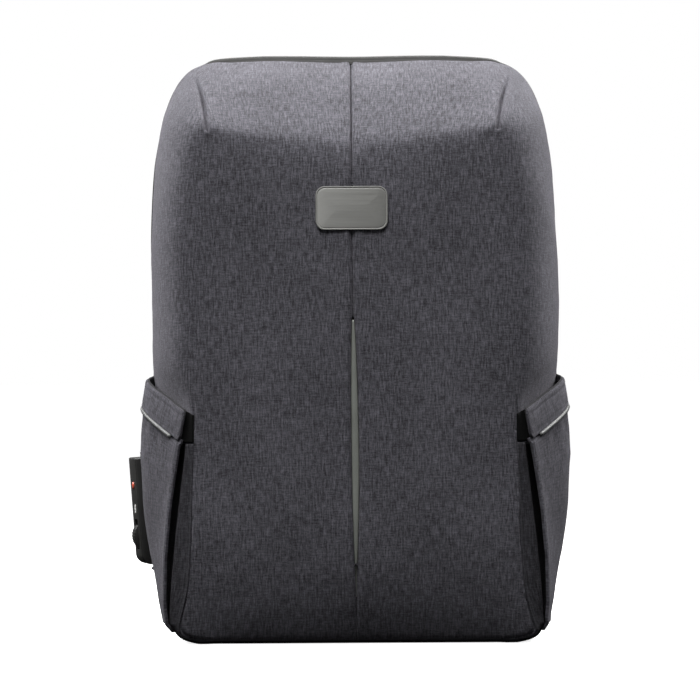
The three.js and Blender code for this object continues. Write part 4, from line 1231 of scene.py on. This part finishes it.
def make_lock_slider():
    """An arched knob with grip ribs across it."""
    half = SLIDER_LENGTH / 2
    z = np.linspace(-half, half, 61)
    arch = SLIDER_END - (SLIDER_PROUD + SLIDER_END) * np.clip(1 - (z / half) ** 2, 0, 1) ** 0.8
    ribs = np.maximum(np.sin(2 * math.pi * z / SLIDER_RIB_PITCH), 0) * ramp(np.abs(z), *SLIDER_RIB_SPAN)
    profile = list(zip(arch - SLIDER_RIB * ribs, z)) + [(SLIDER_FOOT, half), (SLIDER_FOOT, -half)]
    bm = prism([(LOCK_FACE + x, SLIDER_Z + along) for x, along in profile], SLIDER_WIDTH / 2)
    knob = lock_object("lock_knob", bevel(bm, 0.45, 2, 60), 35)
    add_piece(knob, LOCK_PLASTIC, ["lock_slider"], body="release_slider")


def make_lock_dot():
    rings = [(DOT_RADIUS * wide, LOCK_FACE - DOT_RISE * high) for wide, high in DOT_PROFILE]
    grid = np.array([
        [lock_place((x, radius * math.cos(a), DOT_Z + radius * math.sin(a))) for a in circle(32)]
        for radius, x in rings
    ]) / MM
    obj = grid_mesh("lock_dot", grid, close=True, caps=True)
    add_piece(obj, LOCK_RED, ["lock_indicator"])


# Zip pulls: a slider on the zip, and a tab that reaches into the lock
PULLS = (("upper", 151.3, -8.6, 8), ("lower", 50.8, 4, 4.5))  # name, z, tab's drop and reach out
PULL_Y = (SEAM_Y + ZIP_END_Y) / 2
PULL_PROFILE = ((1.8, -4.5), (1.8, 4.5), (-0.9, 4.1), (-1.8, 1.35), (-1.8, -1.35), (-0.9, -4.1))  # x, z
PULL_SEAT, PULL_HALF_THICK, PULL_HALF_WIDTH = 1.7, 1.8, 4
PULL_TAPER, PULL_TAPER_SPAN = 0.35, (0.9, 4.5)
TAB_SUNK, TAB_HALF_THICK, TAB_HALF_WIDTH = 1.2, 0.85, 2.4


def pull_object(name, bm):
    for vert in bm.verts:
        vert.co.y += PULL_Y
        vert.co *= MM
    return bm_object(name, bm, 35)


def make_pulls():
    for name, z, drop, reach in PULLS:
        x = -(float(side_point(z, 0.0)[0]) + PULL_SEAT + PULL_HALF_THICK)
        body = bevel(prism([(x + out, z + along) for out, along in PULL_PROFILE], PULL_HALF_WIDTH), 0.5, 2)
        for vert in body.verts:
            vert.co.y *= 1 - PULL_TAPER * ramp(vert.co.z - z, *PULL_TAPER_SPAN)
        start, end = Vector((x - TAB_SUNK, z)), Vector((x - PULL_HALF_THICK - reach, z + drop))
        side = (end - start).normalized().orthogonal() * TAB_HALF_THICK
        tab = bevel(prism([start + side, end + side, end - side, start - side], TAB_HALF_WIDTH), 0.35, 2)
        slider = pull_object(f"zip_slider_{name}", body)
        add_piece(slider, LOCK_PLASTIC, [f"zip_pull_{name}"])
        add_piece(pull_object(f"zip_tab_{name}", tab), LOCK_PLASTIC)


# Back, straps and handle
BACK_PROFILE = ((0, 62.3), (-0.5, 64), (-0.6, 67), (0.4, 70.5), (3, 73), (8, 74.2))  # inset, y
CHANNELS_X, CROSS_CHANNELS_Z = (-46, 46), (150, 290)
CHANNEL_DEPTH, CHANNEL_WIDTH, SEWN_WIDTH = 2.6, 2.6, 3.2
CHANNEL_FOOT_Z, CHANNEL_TOP_Z, CROSS_INNER_X, CROSS_OUTER_X = (30, 56), (424, 398), (44, 48), (132, 122)
BACK_SPINE = (110, 330)  # heights that its foot and its top draw in to
PAD_RISE, PAD_FOOT_Z, PAD_TOP_Z, PAD_SIDE_X = 1.0, (26, 60), (428, 396), (138, 112)
PAD_CREASES, PAD_OUTSIDE_Y = (0.2, 22, 61), (70, 73)
SEWN_Y, SEWN_SIDE_X, SEWN_FOOT_Z, SEWN_TOP_Z = 70.5, 140, 16, 434  # its border beyond these stays sewn


def back_channels(x, z, width):
    """1 on the lines that the back's padding is sewn down along, and 0 away from them."""
    inside = ramp(z, *CHANNEL_FOOT_Z) * ramp(z, *CHANNEL_TOP_Z)
    upright = sum(bump(x - line, width) for line in CHANNELS_X) * inside
    level = sum(bump(z - line, width) for line in CROSS_CHANNELS_Z)
    level = level * ramp(np.abs(x), *CROSS_INNER_X) * ramp(np.abs(x), *CROSS_OUTER_X)
    return np.clip(upright + level, 0, 1)


def back_sewn(points):
    x, y, z = points.T
    border = (y < SEWN_Y) | (np.abs(x) > SEWN_SIDE_X) | (z < SEWN_FOOT_Z) | (z > SEWN_TOP_Z)
    return border | (back_channels(x, z, SEWN_WIDTH) > 0.4)


def make_back():
    loop, normal = full_loop(np.linspace(0, 1, 150))
    rings = [at_depth(loop - normal * inset, y) for inset, y in BACK_PROFILE]
    rim = rings[-1]
    spine = np.interp(rim[:, 2], [0, HEIGHT], BACK_SPINE)
    for share in np.linspace(0.03, 1, 44):
        x, z = rim[:, 0] * (1 - share), lerp(rim[:, 2], spine, share)
        pad = ramp(z, *PAD_FOOT_Z) * ramp(z, *PAD_TOP_Z) * ramp(np.abs(x), *PAD_SIDE_X)
        rings.append(at_depth(np.column_stack([x, z]), BACK_PROFILE[-1][1] + PAD_RISE * pad))
    grid = np.stack(rings, axis=1)
    obj = grid_mesh("back_padding", grid, grid[..., [0, 2]] * MM, wrap=True, flip=True)
    bm = bmesh.new()
    bm.from_mesh(obj.data)
    bmesh.ops.remove_doubles(bm, verts=bm.verts, dist=0.0002)
    bmesh.ops.holes_fill(bm, edges=[edge for edge in bm.edges if edge.is_boundary], sides=0)
    bm.to_mesh(obj.data)
    bm.free()
    puffed(obj, voxel=5, pressure=4, cap=6, sewn=back_sewn)
    points = points_of(obj)
    outside = ramp(points[:, 1], *PAD_OUTSIDE_Y)
    points[:, 1] -= CHANNEL_DEPTH * back_channels(points[:, 0], points[:, 2], CHANNEL_WIDTH) * outside
    points[:, 1] += ripple(points, PAD_CREASES) * outside
    set_points(obj, points)
    add_piece(obj, PADDING, ["back_panel"])
    return points


def on_back(back, x, z, reach=7):
    """How far out the back's padding reaches near a place on it."""
    return back[np.hypot(back[:, 0] - x, back[:, 2] - z) < reach, 1].max()


STRAP_LINE = (
    (55, 72, 424), (55.5, 78.5, 413), (56.3, 86, 397), (58, 101, 372), (62, 126, 330), (69, 141, 275),
    (77, 140, 218), (85, 126, 168),
)
WEB_LINE = ((98, 103, 112), (112, 89, 70))
WEB_SEWN = ((117.5, 48, 1.2), (120, 34, 0.9), (121, 24, -0.8))  # x, z, distance out of the back's padding
ACROSS_STRAP = np.array([1, 0, 0.16])
STRAP_WIDTH, BINDING_RADIUS = 62, 2.5
PAD_EDGE, PAD_CROWN, PAD_FULL = 1.3, 3.1, 0.95  # half thicknesses, and the share of its width that is filled
ADJUSTER_WIDTH, ADJUSTER_HEIGHT, ADJUSTER_THICK, ADJUSTER_BAR = 33, 17, 5, 4
WEB_WIDTH, WEB_THICK = 25, 1.6
TAPE_WIDTH, TAPE_THICK, TAPE_SEAM, TAPE_SUNK = 24, 1.4, 9.5, 0.1


def band_frame(line, across, stations):
    """Points along a smooth line, with the directions across and out of a band along it."""
    shares = np.linspace(0, 1, stations)
    points = spline(line, shares)
    along = unit(np.gradient(points, axis=0))
    side = unit(across - along * (along @ across)[:, None])
    return points, side, np.cross(along, side)


def swept(points, side, out, section, widths=1.0):
    """Rings of a band along points, from a closed section of (across, out) in millimetres."""
    section = np.asarray(section, float)
    across = side[:, None] * section[:, :1] * np.reshape(widths, (-1, 1, 1))
    return points[:, None] + across + out[:, None] * section[:, 1:]


def flat_section(width, thick, steps=14):
    """A strip with rounded edges."""
    half, radius = width / 2 - thick / 2, thick / 2
    top = [(x, radius) for x in np.linspace(-half, half, steps)]
    right = [(half + radius * math.sin(a), radius * math.cos(a)) for a in np.linspace(0.4, math.pi - 0.4, 5)]
    return top + right + [(-x, -y) for x, y in top] + [(-x, -y) for x, y in right]


def pad_section():
    """A padded strap, thin at its bound edges."""
    across = np.linspace(-1, 1, 33)
    crown = np.clip(1 - np.abs(across / PAD_FULL) ** 3.2, 0, 1) ** 0.6
    top = list(zip(across * STRAP_WIDTH / 2, PAD_EDGE + PAD_CROWN * crown))
    return top + [(-x, -y) for x, y in top]


def adjuster_frame():
    before, end = np.array(STRAP_LINE[-2], float), np.array(STRAP_LINE[-1], float)
    up = unit(before - end)
    across = unit(ACROSS_STRAP - up * (ACROSS_STRAP @ up))
    inward = np.cross(across, up)
    return end - up * (ADJUSTER_HEIGHT / 2 + 0.6), across, up, inward


def web_line(back):
    middle, _, up, inward = adjuster_frame()
    behind = (ADJUSTER_THICK + WEB_THICK) / 2 + 0.3
    half = ADJUSTER_HEIGHT / 2
    start = [middle + inward * behind + up * rise for rise in (half - ADJUSTER_BAR, -half)]
    end = [(x, on_back(back, x, z) + out, z) for x, z, out in WEB_SEWN]
    return np.array([*start, *WEB_LINE, *end])


def make_adjuster(side, left):
    """A frame of two side bars, and two bars across."""
    middle, across, up, inward = adjuster_frame()
    bar, inside = ADJUSTER_BAR, ADJUSTER_WIDTH - 2
    out, high = (ADJUSTER_WIDTH - bar) / 2, (ADJUSTER_HEIGHT - bar) / 2
    bars = (  # place across and up, width, height, share of the thickness
        (-out, 0, bar, ADJUSTER_HEIGHT, 0.96),
        (out, 0, bar, ADJUSTER_HEIGHT, 0.96),
        (0, high, inside, bar, 0.8),
        (0, -high, inside, bar, 0.8),
    )
    bm = bmesh.new()
    for x, y, width, height, thick in bars:
        for vert in bmesh.ops.create_cube(bm, size=1)["verts"]:
            vert.co = (x + vert.co.x * width, y + vert.co.y * height, vert.co.z * ADJUSTER_THICK * thick)
    bevel(bm, 1.1)
    place = mirrored if left else np.asarray
    for vert in bm.verts:
        point = middle + across * vert.co.x + up * vert.co.y + inward * vert.co.z
        vert.co = place(point) * MM
    obj = bm_object(f"ladder_lock_{side}", bm, 40)
    add_piece(obj, LOCK_PLASTIC, [f"strap_adjuster_{side}"])


STRAP_STATIONS = 56
STRAP_EDGE, BINDING_INSET = 5, 1.2  # what the binding holds of the pad, and where its middle lies


def strap_widths():
    share = np.linspace(0, 1, STRAP_STATIONS)
    return 1 - 0.1 * share - 0.28 * ramp(share, 0.84, 1) - 0.12 * ramp(share, 0.06, 0)


def strap_places(points):
    """Each point's nearest station on the strap's line, and how far it lies across and out of the strap."""
    line, side, out = band_frame(STRAP_LINE, ACROSS_STRAP, STRAP_STATIONS)
    near = np.linalg.norm(points[:, None] - line, axis=2).argmin(axis=1)
    from_line = points - line[near]
    return near, (from_line * side[near]).sum(axis=1), -(from_line * out[near]).sum(axis=1)


def strap_sewn(points):
    """The pad's points under its binding and at its ends."""
    near, across, _ = strap_places(points)
    bound = np.abs(across) > STRAP_WIDTH / 2 * strap_widths()[near] - STRAP_EDGE
    return bound | (near < 3) | (near > STRAP_STATIONS - 4)


def tape_seat(pad):
    """How far out of the strap's line the pad reaches under its tape, at each station."""
    near, across, out = strap_places(points_of(pad))
    out = np.where(np.abs(across) < TAPE_WIDTH / 2, out, 0)
    height = [out[np.abs(near - station) < 2].max() for station in range(STRAP_STATIONS)]
    return np.convolve(np.pad(height, 2, mode="edge"), np.full(5, 0.2), mode="valid")


def make_straps(back):
    line, across, out = band_frame(STRAP_LINE, ACROSS_STRAP, STRAP_STATIONS)
    widths = strap_widths()
    form = swept(line, across, out, pad_section(), widths)
    pad = grid_mesh("strap_form", form, close=True, caps=True, flip=True)
    puffed(pad, voxel=4, pressure=5, cap=3.5, sewn=strap_sewn)
    web = swept(*band_frame(web_line(back), ACROSS_STRAP, 60), flat_section(WEB_WIDTH, WEB_THICK))
    edges = [line + across * (way * (STRAP_WIDTH / 2 * widths - BINDING_INSET))[:, None] for way in (-1, 1)]
    inner, outer = (tube_grid(edge, BINDING_RADIUS, 12) for edge in edges)
    line = line - out * (tape_seat(pad) + TAPE_THICK / 2 - TAPE_SUNK)[:, None]
    line, across, out = (rows[2:-2] for rows in (line, across, out))
    tape = swept(line, across, out, flat_section(TAPE_WIDTH, TAPE_THICK))
    seams = [line + across * shift - out * TAPE_THICK / 2 for shift in (-TAPE_SEAM, TAPE_SEAM)]
    for side, left in SIDES:
        place = mirrored if left else np.asarray
        obj = bpy.data.objects.new(f"strap_pad_{side}", pad.data.copy())
        set_points(obj, place(points_of(pad)))
        if left:
            obj.data.flip_normals()
        add_piece(obj, PADDING, [f"shoulder_strap_{side}"])
        for name, grid in (("tape", tape), ("binding_inner", inner), ("binding_outer", outer)):
            obj = grid_mesh(f"strap_{name}_{side}", place(grid), close=True, caps=True, flip=not left)
            add_piece(obj, WEBBING)
        obj = stitches(f"strap_stitches_{side}", [(place(seam), place(-out)) for seam in seams])
        add_piece(obj, THREAD)
        obj = grid_mesh(f"strap_web_{side}", place(web), close=True, caps=True, flip=not left)
        add_piece(obj, WEBBING, [f"strap_webbing_{side}"])
        make_adjuster(side, left)
    bpy.data.objects.remove(pad)


HANDLE_LINE = (  # x, distance out of the back
    (-62, 1.5), (-46, 2.2), (-28, 16), (0, 23), (28, 16), (46, 2.2), (62, 1.5),
)
HANDLE_Z, HANDLE_WIDTH, HANDLE_THICK = 426, 24, 3
STITCH_BOX = ((49, 418), (60, 418), (60, 434), (49, 434), (49, 418), (60, 434))  # x, z of its corners in turn
STITCH_OUT = 1.7


def make_handle(back):
    foot = on_back(back, HANDLE_LINE[-1][0], HANDLE_Z)
    line = [(x, foot + out, HANDLE_Z) for x, out in HANDLE_LINE]
    upright = np.array([0, 0, 1.0])
    grid = swept(*band_frame(line, upright, 72), flat_section(HANDLE_WIDTH, HANDLE_THICK, 16))
    obj = grid_mesh("carry_handle", grid, close=True, caps=True)
    add_piece(obj, WEBBING, ["grab_handle"])
    outside = foot + HANDLE_LINE[0][1] + STITCH_OUT
    rows = []
    for way in (-1, 1):
        corners = np.array(STITCH_BOX, float) * (way, 1)
        for start, end in zip(corners, corners[1:]):
            row = at_depth(np.linspace(start, end, 6), outside)
            rows.append((row, np.broadcast_to([0.0, 1.0, 0.0], row.shape)))
    add_piece(stitches("handle_stitches", rows), THREAD)


# Stage
FLOOR_REACH, FLOOR_DROP = 30000, 0.2


def make_stage():
    """A pale lit table: it throws no light back up at the bag."""
    reach = np.array([-FLOOR_REACH, FLOOR_REACH])
    grid = np.array([[(x, y, -FLOOR_DROP) for x in reach] for y in reach])
    floor = grid_mesh("floor", grid, flip=True)
    scene.collection.objects.link(floor)
    paper = Shader("paper", Roughness=0.9)
    tone = paper.noise((60, 60, 60), 2.0, 0.5, uv=False)
    paper.set(Base_Color=paper.colours(tone, (0.3, (0.78, 0.78, 0.78)), (0.7, (0.8, 0.8, 0.8))))
    paper.set(Emission_Color=(1, 1, 1, 1), Emission_Strength=0.87)
    floor.data.materials.append(paper.material)
    floor.visible_diffuse = False
    floor.visible_glossy = False


LIGHTS = (  # name, place, aim, width, height, power
    ("overhead", (-0.3, 0.1, 1.5), (0.0, 0.0, 0.42), 1.2, 0.8, 4),
    ("left", (-1.3, 0.5, 1.35), (-0.1, 0.0, 0.25), 0.8, 0.8, 41),
    ("right", (1.3, 0.5, 1.35), (0.1, 0.0, 0.25), 0.8, 0.8, 39),
    ("front", (-0.28, -1.2, 2.4), (0.0, -0.05, 0.25), 1.6, 1.0, 88),
    ("behind", (0.35, 1.3, 2.45), (0.0, 0.05, 0.25), 1.6, 1.0, 60),
    ("card", (-1.4, -3.6, 0.7), (0.0, 0.0, 0.25), 2.0, 2.0, 8),
)
# The sky's strength, by the height of a direction
SKY_FALL = {"From Min": -0.2, "From Max": 0.3, "To Min": 0.02, "To Max": 0.2}


def make_sky():
    """White to the camera; as light, soft from above and weak from below."""
    world = bpy.data.worlds.new("studio")
    scene.world = world
    world.use_nodes = True
    nodes, links = world.node_tree.nodes, world.node_tree.links
    soft = nodes["Background"]
    height = nodes.new("ShaderNodeSeparateXYZ")
    links.new(nodes.new("ShaderNodeTexCoord").outputs["Generated"], height.inputs[0])
    fall = nodes.new("ShaderNodeMapRange")
    for name, value in SKY_FALL.items():
        fall.inputs[name].default_value = value
    links.new(height.outputs["Z"], fall.inputs["Value"])
    links.new(fall.outputs[0], soft.inputs["Strength"])
    soft.inputs["Color"].default_value = (1, 1, 1, 1)
    white = nodes.new("ShaderNodeBackground")
    white.inputs["Color"].default_value = (1, 1, 1, 1)
    mix = nodes.new("ShaderNodeMixShader")
    links.new(nodes.new("ShaderNodeLightPath").outputs["Is Camera Ray"], mix.inputs["Fac"])
    links.new(soft.outputs[0], mix.inputs[1])
    links.new(white.outputs[0], mix.inputs[2])
    links.new(mix.outputs[0], nodes["World Output"].inputs["Surface"])


def make_lights():
    for name, place, aim, width, height, power in LIGHTS:
        data = bpy.data.lights.new(name, "AREA")
        data.shape = "RECTANGLE"
        data.size, data.size_y = width, height
        data.energy = power
        lamp = bpy.data.objects.new(name, data)
        lamp.location = place
        lamp.rotation_euler = (Vector(aim) - Vector(place)).to_track_quat("-Z", "Y").to_euler()
        scene.collection.objects.link(lamp)
    make_sky()
    scene.view_settings.view_transform = "Standard"


make_front()
make_insert()
make_plate()
make_zip()
make_back_band()
make_base()
make_pockets()
make_lock_body()
make_key_plug()
make_lock_slider()
make_lock_dot()
make_pulls()
back_points = make_back()
make_straps(back_points)
make_handle(back_points)
make_stage()
make_lights()
